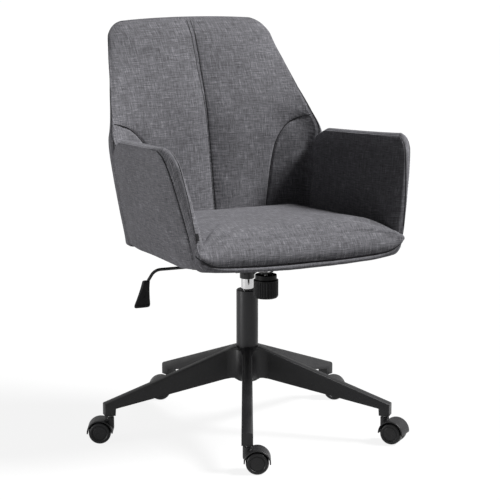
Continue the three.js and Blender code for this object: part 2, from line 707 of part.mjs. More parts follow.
// ---------------------------------------------------------------- rocking mechanism
function mechanismHousing() {
  const outer = sidePrism(
    [
      [NOSE_FRONT, NOSE_BOTTOM],
      [PAN_STEP - 6, NOSE_BOTTOM],
      [PAN_STEP, PAN_BOTTOM],
      [PAN_REAR, PAN_BOTTOM],
      [PAN_REAR, PAN_REAR_TOP],
      [PIVOT_Y + 20, PAN_WALL_TOP],
      [PIVOT_Y - 18, PAN_WALL_TOP + 2],
      [PAN_STEP - 8, BRACKET_BOTTOM - FIT],
      [NOSE_FRONT, BRACKET_BOTTOM - FIT],
    ],
    -PAN_HALF_WIDTH,
    PAN_HALF_WIDTH,
  );
  const inner = sidePrism(
    [
      [NOSE_FRONT + PAN_PLATE, NOSE_BOTTOM + PAN_PLATE],
      [PAN_STEP - 4, NOSE_BOTTOM + PAN_PLATE],
      [PAN_STEP + PAN_PLATE, PAN_BOTTOM + PAN_PLATE],
      [PAN_REAR - PAN_PLATE, PAN_BOTTOM + PAN_PLATE],
      [PAN_REAR - PAN_PLATE, BRACKET_BOTTOM + 10],
      [NOSE_FRONT + PAN_PLATE, BRACKET_BOTTOM + 10],
    ],
    -PAN_HALF_WIDTH + PAN_PLATE,
    PAN_HALF_WIDTH - PAN_PLATE,
  );
  const collar = revolve(
    [
      [0, COLLAR_BOTTOM],
      [SOCKET_COLLAR_DIAMETER / 2 - 1, COLLAR_BOTTOM],
      [SOCKET_COLLAR_DIAMETER / 2, COLLAR_BOTTOM + 1],
      [SOCKET_COLLAR_DIAMETER / 2, PAN_BOTTOM + 1],
      [0, PAN_BOTTOM + 1],
    ],
    COLUMN_SIDES,
  );
  const gusset = sidePrism(
    [
      [SOCKET_COLLAR_DIAMETER / 2 - 2, COLLAR_BOTTOM + 8],
      [SOCKET_COLLAR_DIAMETER / 2 + 24, PAN_BOTTOM + 1],
      [SOCKET_COLLAR_DIAMETER / 2 - 2, PAN_BOTTOM + 1],
    ],
    -PAN_PLATE / 2,
    PAN_PLATE / 2,
  );
  let body = union(cut(outer, inner), collar);
  for (const angle of [45, 135, 225, 315]) {
    body = body.add(gusset.rotate([0, 0, angle]));
  }
  const socket = revolve(
    [
      [0, COLLAR_BOTTOM - 1],
      [CYLINDER_DIAMETER / 2 + FIT, COLLAR_BOTTOM - 1],
      [CYLINDER_DIAMETER / 2 + FIT, COLLAR_BOTTOM],
      [CYLINDER_TAPER_TOP / 2 + FIT, CYLINDER_TOP],
      [0, CYLINDER_TOP],
    ],
    COLUMN_SIDES,
  );
  const slotReach = BOLT_DIAMETER / 2 + 1;
  const boltSlot = union(
    disc(slotReach, NOSE_BOTTOM - 1, NOSE_BOTTOM + 5, SMALL_SIDES).translate([0, BOLT_Y + 1, 0]),
    disc(slotReach, NOSE_BOTTOM - 1, NOSE_BOTTOM + 5, SMALL_SIDES).translate([0, BOLT_Y - 5, 0]),
    box(-slotReach, slotReach, BOLT_Y - 5, BOLT_Y + 1, NOSE_BOTTOM - 1, NOSE_BOTTOM + 5),
  );
  const reach = PAN_HALF_WIDTH + 1;
  const window = PAN_HALF_WIDTH - PAN_PLATE - 12;
  return cut(
    body,
    socket,
    boltSlot,
    barX(PIVOT_DIAMETER / 2 + RUN, -reach, reach, PIVOT_Y, PIVOT_Z, SMALL_SIDES),
    barX(BUSH_BODY / 2 + RUN, -reach, -reach + 10, 0, LEVER_Z, SMALL_SIDES),
    box(-window, -window + 14, PAN_REAR - 30, PAN_REAR - 14, PAN_BOTTOM - 1, PAN_BOTTOM + 5),
    box(window - 14, window, PAN_REAR - 30, PAN_REAR - 14, PAN_BOTTOM - 1, PAN_BOTTOM + 5),
  );
}

const FLANGE_INNER = PAN_HALF_WIDTH + RUN + 0.1;
const FLANGE_OUTER = FLANGE_INNER + BRACKET_PLATE;

function tiltPivotPin() {
  const end = FLANGE_OUTER + 3;
  const body = barX(PIVOT_DIAMETER / 2, -end, end + 1, PIVOT_Y, PIVOT_Z, SMALL_SIDES);
  const head = barX(PIVOT_HEAD / 2, end, end + 3, PIVOT_Y, PIVOT_Z, SMALL_SIDES);
  return union(body, head);
}

function seatBracket() {
  const plateTop = BRACKET_BOTTOM + BRACKET_PLATE;
  const chamfer = BRACKET_CHAMFER;
  const w = BRACKET_HALF_WIDTH;
  const plate = prism(
    [
      [-w + chamfer, BRACKET_FRONT],
      [w - chamfer, BRACKET_FRONT],
      [w, BRACKET_FRONT + chamfer / 2],
      [w, BRACKET_FRONT + chamfer * 1.6],
      [FLANGE_OUTER, PIVOT_Y - 10],
      [FLANGE_OUTER, PIVOT_Y + 30],
      [w, BRACKET_REAR - chamfer * 1.6],
      [w, BRACKET_REAR - chamfer / 2],
      [w - chamfer, BRACKET_REAR],
      [-w + chamfer, BRACKET_REAR],
      [-w, BRACKET_REAR - chamfer / 2],
      [-w, BRACKET_REAR - chamfer * 1.6],
      [-FLANGE_OUTER, PIVOT_Y + 30],
      [-FLANGE_OUTER, PIVOT_Y - 10],
      [-w, BRACKET_FRONT + chamfer * 1.6],
      [-w, BRACKET_FRONT + chamfer / 2],
    ],
    BRACKET_BOTTOM,
    plateTop,
  );
  const ear = [
    [PIVOT_Y - 34, BRACKET_BOTTOM + 1],
    [PIVOT_Y - 12, PIVOT_Z],
    [PIVOT_Y - 9, PIVOT_Z - 8],
    [PIVOT_Y, PIVOT_Z - 12],
    [PIVOT_Y + 9, PIVOT_Z - 8],
    [PIVOT_Y + 12, PIVOT_Z],
    [PIVOT_Y + 34, BRACKET_BOTTOM + 1],
  ];
  let body = union(
    plate,
    sidePrism(ear, FLANGE_INNER, FLANGE_OUTER),
    sidePrism(ear, -FLANGE_OUTER, -FLANGE_INNER),
  );
  const reach = FLANGE_OUTER + 1;
  body = cut(
    body,
    box(-BRACKET_WINDOW, BRACKET_WINDOW, -26, 46, BRACKET_BOTTOM - 1, plateTop + 1),
    barX(PIVOT_DIAMETER / 2 + FIT, -reach, reach, PIVOT_Y, PIVOT_Z, SMALL_SIDES),
    disc(BOLT_DIAMETER / 2 + FIT, BRACKET_BOTTOM - 1, plateTop + 1, SMALL_SIDES).translate([0, BOLT_Y, 0]),
  );
  for (const [x, y] of screwPlaces()) {
    const hole = disc(SCREW_DIAMETER / 2 + FIT, BRACKET_BOTTOM - 1, plateTop + 1, PIN_SIDES);
    body = cut(body, hole.translate([x, y, 0]));
  }
  return body;
}

const screwPlaces = () => [
  [-SCREW_X, SCREW_FRONT],
  [SCREW_X, SCREW_FRONT],
  [-SCREW_X, SCREW_REAR],
  [SCREW_X, SCREW_REAR],
];
const SCREW_NAMES = [
  "seat_screw_front_left",
  "seat_screw_front_right",
  "seat_screw_rear_left",
  "seat_screw_rear_right",
];

function seatScrew([x, y]) {
  const under = BRACKET_BOTTOM - FIT;
  const head = revolve(
    [
      [0, under - SCREW_HEAD_HEIGHT],
      [SCREW_HEAD / 2 - 2, under - SCREW_HEAD_HEIGHT],
      [SCREW_HEAD / 2, under - SCREW_HEAD_HEIGHT / 2],
      [SCREW_HEAD / 2, under],
      [SCREW_DIAMETER / 2, under],
      [SCREW_DIAMETER / 2, under + SCREW_LENGTH],
      [0, under + SCREW_LENGTH],
    ],
    PIN_SIDES,
  );
  const key = disc(SCREW_KEY / 2, under - SCREW_HEAD_HEIGHT - 1, under - SCREW_HEAD_HEIGHT + 2, 6);
  return cut(head, key).translate([x, y, 0]);
}

// ---------------------------------------------------------------- tilt tension
function tensionBolt() {
  const under = BRACKET_BOTTOM + BRACKET_PLATE + FIT;
  return union(
    disc(BOLT_DIAMETER / 2, BOLT_BOTTOM, under + 1, SMALL_SIDES),
    disc(BOLT_HEAD / 2, under, under + BOLT_HEAD_HEIGHT, 6),
  ).translate([0, BOLT_Y, 0]);
}

function tensionKnob() {
  const lobes = [];
  const perLobe = 4;
  for (let i = 0; i < KNOB_LOBES * perLobe; i += 1) {
    const angle = (2 * Math.PI * i) / (KNOB_LOBES * perLobe);
    const wave = Math.abs(Math.sin((KNOB_LOBES * angle) / 2));
    const radius = KNOB_DIAMETER / 2 - KNOB_LOBE_DEPTH * (1 - wave);
    lobes.push([radius * Math.cos(angle), radius * Math.sin(angle)]);
  }
  const top = KNOB_BOTTOM + KNOB_HEIGHT;
  const grip = prism(lobes, KNOB_BOTTOM, top).intersect(
    revolve(
      [
        [0, KNOB_BOTTOM],
        [KNOB_DIAMETER / 2 - KNOB_ROUND, KNOB_BOTTOM],
        [KNOB_DIAMETER / 2, KNOB_BOTTOM + KNOB_ROUND],
        [KNOB_DIAMETER / 2, top - KNOB_SHOULDER * 4],
        [KNOB_DIAMETER / 2 - KNOB_SHOULDER, top - KNOB_SHOULDER * 3.4],
        [KNOB_DIAMETER / 2 - KNOB_SHOULDER, top],
        [0, top],
      ],
      COLUMN_SIDES,
    ),
  );
  const floor = KNOB_BOTTOM + KNOB_FLOOR;
  return cut(
    grip,
    ring(KNOB_BOSS / 2, KNOB_CAVITY / 2, floor, floor + KNOB_BOSS_HEIGHT, KNOB_SIDES),
    disc(KNOB_CAVITY / 2, floor + KNOB_BOSS_HEIGHT, top + 1, KNOB_SIDES),
    disc(BOLT_DIAMETER / 2 + FIT, BOLT_BOTTOM - FIT, top + 1, SMALL_SIDES),
  ).translate([0, BOLT_Y, 0]);
}

const CUP_BOTTOM = KNOB_BOTTOM + KNOB_FLOOR + FIT;

const springCup = () =>
  ring(
    KNOB_BOSS / 2 + FIT,
    KNOB_CAVITY / 2 - FIT,
    CUP_BOTTOM,
    CUP_BOTTOM + CUP_THICKNESS,
    KNOB_SIDES,
  ).translate([0, BOLT_Y, 0]);

function tensionSpring() {
  const bottom = CUP_BOTTOM + CUP_THICKNESS + FIT + SPRING_WIRE / 2;
  const top = NOSE_BOTTOM - FIT - SPRING_WIRE / 2;
  const radius = (SPRING_DIAMETER - SPRING_WIRE) / 2;
  class Helix extends THREE.Curve {
    getPoint(t) {
      const angle = 2 * Math.PI * SPRING_COILS * t;
      return new THREE.Vector3(
        radius * Math.cos(angle),
        radius * Math.sin(angle) + BOLT_Y,
        lerp(bottom, top, t),
      );
    }
  }
  const wire = new THREE.Shape();
  wire.absarc(0, 0, SPRING_WIRE / 2, 0, 2 * Math.PI, false);
  return solid(
    new THREE.ExtrudeGeometry(wire, {
      steps: SPRING_COILS * 8,
      curveSegments: 3,
      extrudePath: new Helix(),
    }),
  );
}

// ---------------------------------------------------------------- height lever
function leverBush() {
  const inside = -PAN_HALF_WIDTH + PAN_PLATE + RUN;
  const outside = -PAN_HALF_WIDTH - BUSH_STANDOFF;
  const body = union(
    barX(BUSH_BODY / 2, outside - 2, inside, 0, LEVER_Z, SMALL_SIDES),
    barX(BUSH_COLLAR / 2, outside - 4, outside, 0, LEVER_Z, SMALL_SIDES),
  );
  return cut(body, barX(LEVER_DIAMETER / 2 + FIT, outside - 6, inside + 2, 0, LEVER_Z, PIN_SIDES));
}

// The lever's wire with its bends; a thicker, slightly longer one bores the paddle.
function leverWire(radius, extra) {
  const path = new THREE.CurvePath();
  const corners = [
    new THREE.Vector3(LEVER_INNER_END, 0, LEVER_Z),
    new THREE.Vector3(LEVER_STRAIGHT, 0, LEVER_Z),
    new THREE.Vector3(LEVER_JOG, LEVER_Y, LEVER_Z),
    new THREE.Vector3(LEVER_OUTER, LEVER_Y, LEVER_Z),
    new THREE.Vector3(LEVER_DROP_X, LEVER_Y, LEVER_DROP_Z),
    new THREE.Vector3(LEVER_DROP_X - 5, LEVER_Y, PADDLE_TOP - LEVER_IN_PADDLE - extra),
  ];
  let from = corners[0];
  for (let i = 1; i + 1 < corners.length; i += 1) {
    const before = corners[i - 1].clone().sub(corners[i]).setLength(LEVER_BEND).add(corners[i]);
    const after = corners[i + 1].clone().sub(corners[i]).setLength(LEVER_BEND).add(corners[i]);
    path.add(new THREE.LineCurve3(from, before));
    path.add(new THREE.QuadraticBezierCurve3(before, corners[i], after));
    from = after;
  }
  path.add(new THREE.LineCurve3(from, corners[corners.length - 1]));
  const wire = new THREE.Shape();
  wire.absarc(0, 0, radius, 0, 2 * Math.PI, false);
  return solid(
    new THREE.ExtrudeGeometry(wire, { steps: 26, curveSegments: 3, extrudePath: path }),
  );
}

const leverRod = () => leverWire(LEVER_DIAMETER / 2, 0);

// Flared grip on the outer end of the lever.
function leverPaddle() {
  const centreX = (z) =>
    LEVER_DROP_X + PADDLE_SET - PADDLE_SPREAD * ((PADDLE_TOP - z) / PADDLE_LENGTH);
  const section = (z, width, thick) =>
    steps(15).slice(0, -1).map((t) => {
      const angle = 2 * Math.PI * t;
      const squash = (v) => Math.sign(v) * Math.abs(v) ** 0.6;
      return [
        centreX(z) + (width / 2) * squash(Math.cos(angle)),
        LEVER_Y + (thick / 2) * squash(Math.sin(angle)),
        z,
      ];
    });
  const body = loft([
    section(PADDLE_BOTTOM, PADDLE_BOTTOM_WIDTH - 4, PADDLE_TIP_THICKNESS - 3),
    section(PADDLE_BOTTOM + 2, PADDLE_BOTTOM_WIDTH, PADDLE_TIP_THICKNESS),
    section(PADDLE_BOTTOM + 8, PADDLE_BOTTOM_WIDTH - 1, PADDLE_TIP_THICKNESS),
    section(PADDLE_BOTTOM + PADDLE_LENGTH * 0.35, PADDLE_BOTTOM_WIDTH - 10, PADDLE_TIP_THICKNESS + 2),
    section(PADDLE_BOTTOM + PADDLE_LENGTH * 0.7, PADDLE_TOP_WIDTH + 2, PADDLE_THICKNESS),
    section(PADDLE_TOP - 3, PADDLE_TOP_WIDTH, PADDLE_THICKNESS),
    section(PADDLE_TOP, PADDLE_TOP_WIDTH - 4, PADDLE_THICKNESS - 3),
  ]);
  const groove = box(-5, 5, -2, 2, -9, 9).translate([
    centreX(PADDLE_BOTTOM + 20),
    LEVER_Y - PADDLE_TIP_THICKNESS / 2 - 0.6,
    PADDLE_BOTTOM + 20,
  ]);
  return cut(body, leverWire(LEVER_DIAMETER / 2 + RUN, RUN), groove);
}

// Tongue in the pan that the lever draws along to block the rocking.
function lockSlide() {
  const bottom = PAN_BOTTOM + PAN_PLATE + FIT;
  const nose = 8; // length and depth of the tongue's tapered end
  const plate = prism(
    [
      [LOCK_LEFT, LOCK_FRONT],
      [LOCK_RIGHT, LOCK_FRONT],
      [LOCK_RIGHT, LOCK_REAR - nose / 2],
      [LOCK_RIGHT - nose, LOCK_REAR],
      [LOCK_LEFT, LOCK_REAR],
    ],
    bottom,
    bottom + LOCK_PLATE,
  );
  const post = box(
    LOCK_LEFT + 1,
    LOCK_LEFT + 1 + LOCK_PLATE,
    LOCK_FRONT + 2,
    LOCK_REAR - 2,
    bottom,
    bottom + LOCK_POST,
  );
  return union(plate, post);
}

// ---------------------------------------------------------------- casters
// A caster is modelled with its stem on the Z axis and its wheels trailing towards +X.
function casterHood() {
  const outer = WHEEL_RADIUS + HOOD_GAP + HOOD_WALL;
  const inner = WHEEL_RADIUS + HOOD_GAP;
  const from = radians(HOOD_ENDS[0]);
  const to = radians(HOOD_ENDS[1]);
  const arc = (radius, a, b, count) =>
    steps(count).map((t) => [
      CASTER_TRAIL + radius * Math.cos(lerp(a, b, t)),
      WHEEL_RADIUS + radius * Math.sin(lerp(a, b, t)),
    ]);
  // Outlines are drawn in X and Z, then laid across the wheels.
  const across = (outline, half) => prism(outline, -half, half).rotate([90, 0, 0]);
  const fender = across([...arc(outer, from, to, 9), ...arc(inner, to, from, 9)], HOOD_WIDTH / 2);
  const web = across(
    [
      [CASTER_TRAIL - 6, WHEEL_RADIUS - 7],
      [CASTER_TRAIL + 6, WHEEL_RADIUS - 7],
      ...arc(inner + 1, radians(6), radians(120), 4),
      [2, WHEEL_RADIUS + 14],
      [2, WHEEL_RADIUS + 4],
    ],
    HOOD_WEB / 2,
  );
  const boss = revolve(
    [
      [0, STEM_BOTTOM - 5],
      [HOOD_BOSS / 2, STEM_BOTTOM - 3],
      [HOOD_BOSS / 2, HOOD_TOP - 1.5],
      [HOOD_BOSS / 2 - 1.5, HOOD_TOP],
      [0, HOOD_TOP],
    ],
    SMALL_SIDES,
  );
  const clear = union(
    barY(inner, HOOD_WEB / 2, HOOD_WIDTH / 2 + 1, CASTER_TRAIL, WHEEL_RADIUS, WHEEL_SIDES),
    barY(inner, -HOOD_WIDTH / 2 - 1, -HOOD_WEB / 2, CASTER_TRAIL, WHEEL_RADIUS, WHEEL_SIDES),
  );
  return cut(
    union(fender, web, cut(boss, clear)),
    disc(STEM_LOWER / 2 + RUN, STEM_BOTTOM - 1, HOOD_TOP + 1, PIN_SIDES),
    barY(AXLE_DIAMETER / 2 + FIT, -HOOD_WEB, HOOD_WEB, CASTER_TRAIL, WHEEL_RADIUS, AXLE_SIDES),
  );
}

const casterStem = () =>
  revolve(
    [
      [0, STEM_BOTTOM],
      [STEM_LOWER / 2, STEM_BOTTOM],
      [STEM_LOWER / 2, HOOD_TOP + STEM_COLLAR],
      [STEM_DIAMETER / 2 + STEM_SHOULDER, HOOD_TOP + STEM_COLLAR],
      [STEM_DIAMETER / 2 + STEM_SHOULDER, SOCKET_BOTTOM - FIT],
      [STEM_DIAMETER / 2, SOCKET_BOTTOM - FIT],
      [STEM_DIAMETER / 2, SOCKET_BOTTOM + SOCKET_DEPTH - FIT],
      [0, SOCKET_BOTTOM + SOCKET_DEPTH - FIT],
    ],
    PIN_SIDES,
  );

const casterAxle = () =>
  barY(
    AXLE_DIAMETER / 2,
    -AXLE_LENGTH / 2,
    AXLE_LENGTH / 2,
    CASTER_TRAIL,
    WHEEL_RADIUS,
    AXLE_SIDES,
  );

// Faceted so that one flat of the tread lies on the floor.
function casterWheel(side) {
  const tread = WHEEL_RADIUS / Math.cos(Math.PI / WHEEL_SIDES);
  const inside = WHEEL_INNER;
  const outside = WHEEL_INNER + WHEEL_WIDTH;
  const wheel = revolve(
    [
      [0, inside],
      [tread, inside],
      [tread, outside - WHEEL_ROUND],
      [tread - WHEEL_ROUND, outside],
      [tread - WHEEL_RIM, outside],
      [tread - WHEEL_RIM - 1, outside - WHEEL_RECESS],
      [0, outside - WHEEL_RECESS],
    ],
    WHEEL_SIDES,
  );
  const bore = disc(AXLE_DIAMETER / 2 + RUN, inside - 1, AXLE_LENGTH / 2 + FIT, AXLE_SIDES);
  return cut(wheel, bore)
    .rotate([side > 0 ? -90 : 90, 0, 0])
    .translate([CASTER_TRAIL, 0, WHEEL_RADIUS]);
}

// ---------------------------------------------------------------- seat tub
// Smooth values of the back's sections at a height.
function backAt(z) {
  const last = BACK_SECTIONS.length - 1;
  const share = Math.min(Math.max((z - BACK_BOTTOM) / BACK_HEIGHT, 0), 1);
  let i = 0;
  while (i < last - 1 && share > BACK_SECTIONS[i + 1].rise) i += 1;
  const t = (share - BACK_SECTIONS[i].rise) / (BACK_SECTIONS[i + 1].rise - BACK_SECTIONS[i].rise);
  const value = (key) => {
    const a = BACK_SECTIONS[Math.max(i - 1, 0)][key];
    const b = BACK_SECTIONS[i][key];
    const c = BACK_SECTIONS[i + 1][key];
    const d = BACK_SECTIONS[Math.min(i + 2, last)][key];
    return b + 0.5 * t * (c - a + t * (2 * a - 5 * b + 4 * c - d + t * (3 * (b - c) + d - a)));
  };
  return {
    half: BACK_HALF_WIDTH * value("half"),
    mid: BACK_FOOT + BACK_RECLINE * value("lean"),
    thick: BACK_THICKNESS * value("thick"),
    edge: BACK_SIDE_THICKNESS * value("edge"),
    wrap: value("wrap"),
  };
}

// The middle line of a back section as a curve that bends ever more towards its side.
function backLine(wrap, u) {
  const count = 40;
  let x = 0;
  let y = 0;
  for (let i = 0; i < count; i += 1) {
    const angle = radians(wrap) * (((i + 0.5) / count) * u) ** WRAP_POWER;
    x += (Math.cos(angle) * u) / count;
    y -= (Math.sin(angle) * u) / count;
  }
  return { x, y, angle: radians(wrap) * u ** WRAP_POWER };
}

// A point of the back: side -1..1, height, and depth 0 (sitter's face) to 1 (rear face).
function backPoint(u, z, depth, taper) {
  const at = backAt(z);
  const wrap = Math.min(at.wrap, 90);
  const end = backLine(wrap, 1);
  const corner = Math.max(0, z - (BACK_TOP - BACK_CORNER));
  const rounding = BACK_CORNER - Math.sqrt(Math.max(0, BACK_CORNER ** 2 - corner ** 2));
  const across = at.half - rounding - (at.edge / 2) * Math.sin(radians(wrap));
  const scale = across / end.x;
  const side = Math.abs(u);
  const line = backLine(wrap, side);
  const thick = lerp(at.thick, at.edge, side ** 2.5) * (taper ?? 1);
  const offset = (depth - 0.5) * thick;
  const rise = BACK_TOP_CROWN * (Math.max(0, z - BACK_BOTTOM) / (BACK_TOP - BACK_BOTTOM)) ** 3;
  const x = line.x * scale + offset * Math.sin(line.angle);
  return [
    Math.sign(u) * x,
    at.mid + line.y * scale + offset * Math.cos(line.angle),
    z - rise * side ** 2,
  ];
}

const BACK_COLUMNS = 20;
const LAYER_COLUMNS = 12; // of the layers hidden in the back
const LAYER_ROWS = 6;

// A layer of the back between two depths, set in from the sides, through the given levels.
function backLayer({ near, far, inset, levels, columns }) {
  const face = (depth) =>
    levels.map(({ z, taper }) =>
      steps(columns).map((t) => {
        const reach = 1 - inset / backAt(z).half;
        return backPoint((2 * t - 1) * reach, z, depth, taper);
      }),
    );
  return slab(face(near), face(far));
}

// Levels of the whole back: even ones, then closer ones where the top edge is rounded.
function backOuterLevels() {
  const start = BACK_TOP - BACK_EDGE_ROUND;
  const even = steps(9).map((t) => ({ z: lerp(BACK_BOTTOM, start, t), taper: 1 }));
  const rounded = [0.35, 0.65, 0.87, 1].map((t) => ({
    z: start + BACK_EDGE_ROUND * Math.sin((t * Math.PI) / 2),
    taper: lerp(0.45, 1, Math.cos((t * Math.PI) / 2)),
  }));
  return [...even, ...rounded];
}

// Levels shared by the layers inside the back, so that their faces lie parallel.
const layerLevels = (grow) => {
  const top = BACK_TOP - BACK_RIM * 1.5;
  const levels = steps(LAYER_ROWS).map((t) => ({ z: lerp(BACK_BOTTOM + 1, top, t) }));
  levels[LAYER_ROWS].z += grow;
  return levels;
};

// Where the side of the back ends and the arm begins, at a height.
function backEnd(z, depth) {
  const [x, y] = backPoint(1, z, depth);
  return { x, y };
}

const ARM_STATIONS = [0, 0.012, 0.04, 0.16, 0.45, 0.75, 0.93, 1];
const ARM_LEVELS = [0, 0.25, 0.5, 0.75, 0.93, 0.975, 1];
const FRAME_STATIONS = [0.1, 0.16, 0.45, 0.75, 0.92];
const FRAME_LEVELS = [0.012, 0.25, 0.5, 0.75, 0.88];

const armTopLine = (station) =>
  lerp(ARM_FRONT_TOP, ARM_REAR_TOP, station) -
  ARM_REAR_DIP * Math.max(0, (station - ARM_DIP_START) / (1 - ARM_DIP_START)) ** 2;

const armFootLine = (station) =>
  lerp(ARM_FRONT_BOTTOM, ARM_BOTTOM, Math.min(1, station * ARM_FOOT_RISE));

// A point of the right arm: station 0 (front) to 1 (back), level 0 (bottom) to 1 (top), depth 0..1.
function armPoint(station, level, depth, shrink) {
  const top = armTopLine(station);
  const z = lerp(armFootLine(station), top, level);
  const rise = (z - ARM_FRONT_BOTTOM) / ARM_HEIGHT;
  const frontY = ARM_FRONT + ARM_LEAN * Math.max(0, rise) ** ARM_LEAN_POWER;
  const rear = backEnd(z, depth);
  const y = lerp(frontY, rear.y - FIT, station);
  const outer = lerp(ARM_FRONT_HALF_BOTTOM, ARM_FRONT_HALF_TOP, rise);
  const thick = lerp(ARM_THICK_BOTTOM, ARM_THICK_TOP, rise);
  const frontX = outer - thick * (1 - depth);
  const middle = lerp(outer - thick / 2, backEnd(z, 0.5).x, station ** 0.9);
  const x = lerp(frontX, rear.x, station ** 0.9);
  return [middle + (x - middle) * shrink, y, z];
}

// A layer of the arm between two depths; the whole arm is drawn in towards its top and front edges.
function armLayer({ near, far, stations, levels, rounded }) {
  const atLevel = (v) => (rounded ? 1 - 0.5 * Math.max(0, (v - 0.93) / 0.07) ** 2 : 1);
  const atStation = (s) => (rounded ? 1 - 0.45 * Math.max(0, 1 - s / 0.04) ** 2 : 1);
  const face = (depth) =>
    levels.map((v) => stations.map((s) => armPoint(s, v, depth, atLevel(v) * atStation(s))));
  return slab(face(near), face(far));
}

const armWhole = (grow) =>
  armLayer({
    near: -grow / ARM_THICK_TOP,
    far: 1,
    stations: ARM_STATIONS,
    levels: ARM_LEVELS,
    rounded: true,
  });

// The panel inside an arm, grown by a clearance when it serves to cut the pocket.
function armPanel(grow) {
  const share = grow / ARM_THICK_TOP;
  const stations = [...FRAME_STATIONS];
  stations[0] -= grow / 400;
  stations[stations.length - 1] += grow / 400;
  const levels = [...FRAME_LEVELS];
  levels[levels.length - 1] += grow / 200;
  if (grow > 0) levels.unshift(-0.2);
  return armLayer({ near: FRAME_INNER - share, far: FRAME_OUTER + share, stations, levels });
}

// The padding of an arm, less the panel and the room for the seat board, which reaches in to the panel.
function armPad() {
  const inner = armPoint(0.5, 0, FRAME_INNER, 1)[0];
  const room = box(
    inner - ARM_THICK_BOTTOM,
    inner,
    ARM_FRONT,
    SEAT_BACK_REACH,
    SEAT_BOTTOM - 9,
    SEAT_BOTTOM + BOARD + FIT,
  );
  return cut(armWhole(0), armPanel(FIT), room);
}

const mirrored = (shape) => shape.mirror([1, 0, 0]);

const SLIP = FIT / 20; // the fit as a share of the back's depth

const backFrame = () =>
  backLayer({
    near: BACK_PAD_SHARE,
    far: BACK_FRAME_SHARE,
    inset: BACK_RIM,
    levels: layerLevels(0),
    columns: LAYER_COLUMNS,
  });

const backCover = () =>
  backLayer({
    near: BACK_FRAME_SHARE + SLIP,
    far: 1,
    inset: BACK_RIM,
    levels: layerLevels(0),
    columns: LAYER_COLUMNS,
  });

const backWhole = (grow) =>
  backLayer({
    near: -grow * SLIP,
    far: 1,
    inset: 0,
    levels: backOuterLevels(),
    columns: BACK_COLUMNS,
  });

// The padded front and rim: the whole back less a pocket for the frame and for the rear panel.
function backPad() {
  const pocket = (near, far) =>
    backLayer({
      near,
      far,
      inset: BACK_RIM - RIM_GAP,
      levels: [{ z: BACK_BOTTOM - 2 }, ...layerLevels(RIM_GAP)],
      columns: LAYER_COLUMNS,
    });
  return cut(
    backWhole(0),
    pocket(BACK_PAD_SHARE - SLIP, BACK_FRAME_SHARE + SLIP),
    pocket(BACK_FRAME_SHARE, 1.02),
    pocket(1, 1.6),
  );
}

// Plan outline of what lies inside the tub at a height, from the middle of the front edge round.
function tubOutline(z, gap, depth) {
  const sideStations = [0.08, 0.2, 0.45, 0.75, 0.95];
  const armLevel = (s) => (z - armFootLine(s)) / (armTopLine(s) - armFootLine(s));
  const right = sideStations.map((s) => {
    const [x, y] = armPoint(s, armLevel(s), s > 0.1 ? depth : 0, 1);
    return [x - gap, y];
  });
  const rear = [0.95, 0.88, 0.8, 0.6, 0.3].map((u) => {
    const [x, y] = backPoint(u, z, 0);
    return [x - gap * u, y - gap];
  });
  const corner = right[0][0];
  const front = [
    [corner * 0.5, SEAT_FRONT],
    [corner - 14, SEAT_FRONT],
    [corner - 4, SEAT_FRONT + 4],
    [corner - 1, SEAT_FRONT + 12],
  ];
  const half = [...front, ...right, ...rear];
  return [
    [0, SEAT_FRONT],
    ...half,
    [0, backPoint(0, z, 0)[1] - gap],
    ...half.map(([x, y]) => [-x, y]).reverse(),
  ];
}

// Upholstered rail under the front of the cushion; it rises towards the arms.
function frontRail(grow) {
  const half = tubOutline(SEAT_BOTTOM + BOARD, -2, 0)[3][0];
  const reach = (x) => Math.abs(x) / half;
  const face = (y) => {
    const low = (x) => SEAT_BOTTOM - grow + RAIL_RISE * reach(x) ** 2;
    const high = (x) => RAIL_TOP + grow + RAIL_SWEEP * reach(x) ** 3.5;
    const along = steps(16).map((t) => lerp(-half, half, t));
    return [along.map((x) => [x, y, low(x)]), along.map((x) => [x, y, high(x)])];
  };
  const rail = slab(face(ARM_FRONT - grow), face(ARM_FRONT + RAIL_DEPTH + grow));
  if (grow > 0) return rail;
  const arm = armWhole(FIT);
  return cut(rail, arm, mirrored(arm));
}

// Cuts away what the arms, the back and the front rail take up, with the fit between.
function fitInTub(shape) {
  const arm = armWhole(FIT);
  return cut(shape, backWhole(1), arm, mirrored(arm), frontRail(FIT));
}

// Plan of the board, which ends behind the rail; inset draws it in for the dust cover.
function boardPlan(inset, bottom, top) {
  const front = ARM_FRONT + RAIL_DEPTH + FIT + inset;
  const rear = SEAT_BACK_REACH - FIT;
  const inner = armPoint(0.5, 0, FRAME_INNER, 1)[0] - FIT;
  const corner = inner - BOARD_CORNER;
  return prism(
    [
      [-corner, front],
      [corner, front],
      [inner, front + BOARD_CORNER],
      [inner, rear],
      [-inner, rear],
      [-inner, front + BOARD_CORNER],
    ],
    bottom,
    top,
  );
}

function seatBoard() {
  const over = SEAT_BOTTOM + BOARD;
  const outline = tubOutline(over, -1, FRAME_INNER);
  const plank = prism(outline, SEAT_BOTTOM, over).intersect(boardPlan(0, SEAT_BOTTOM, over));
  const relief = disc(BOLT_HEAD / 2 + 3, SEAT_BOTTOM - 1, over + 1, SMALL_SIDES);
  const holes = screwPlaces().map(([x, y]) =>
    disc(SCREW_DIAMETER / 2 + FIT, SEAT_BOTTOM - 1, over + 1, PIN_SIDES).translate([x, y, 0]),
  );
  const panel = armPanel(FIT);
  return cut(
    plank,
    backWhole(1),
    panel,
    mirrored(panel),
    armPad(),
    mirrored(armPad()),
    frontRail(FIT),
    relief.translate([0, BOLT_Y, 0]),
    ...holes,
  );
}

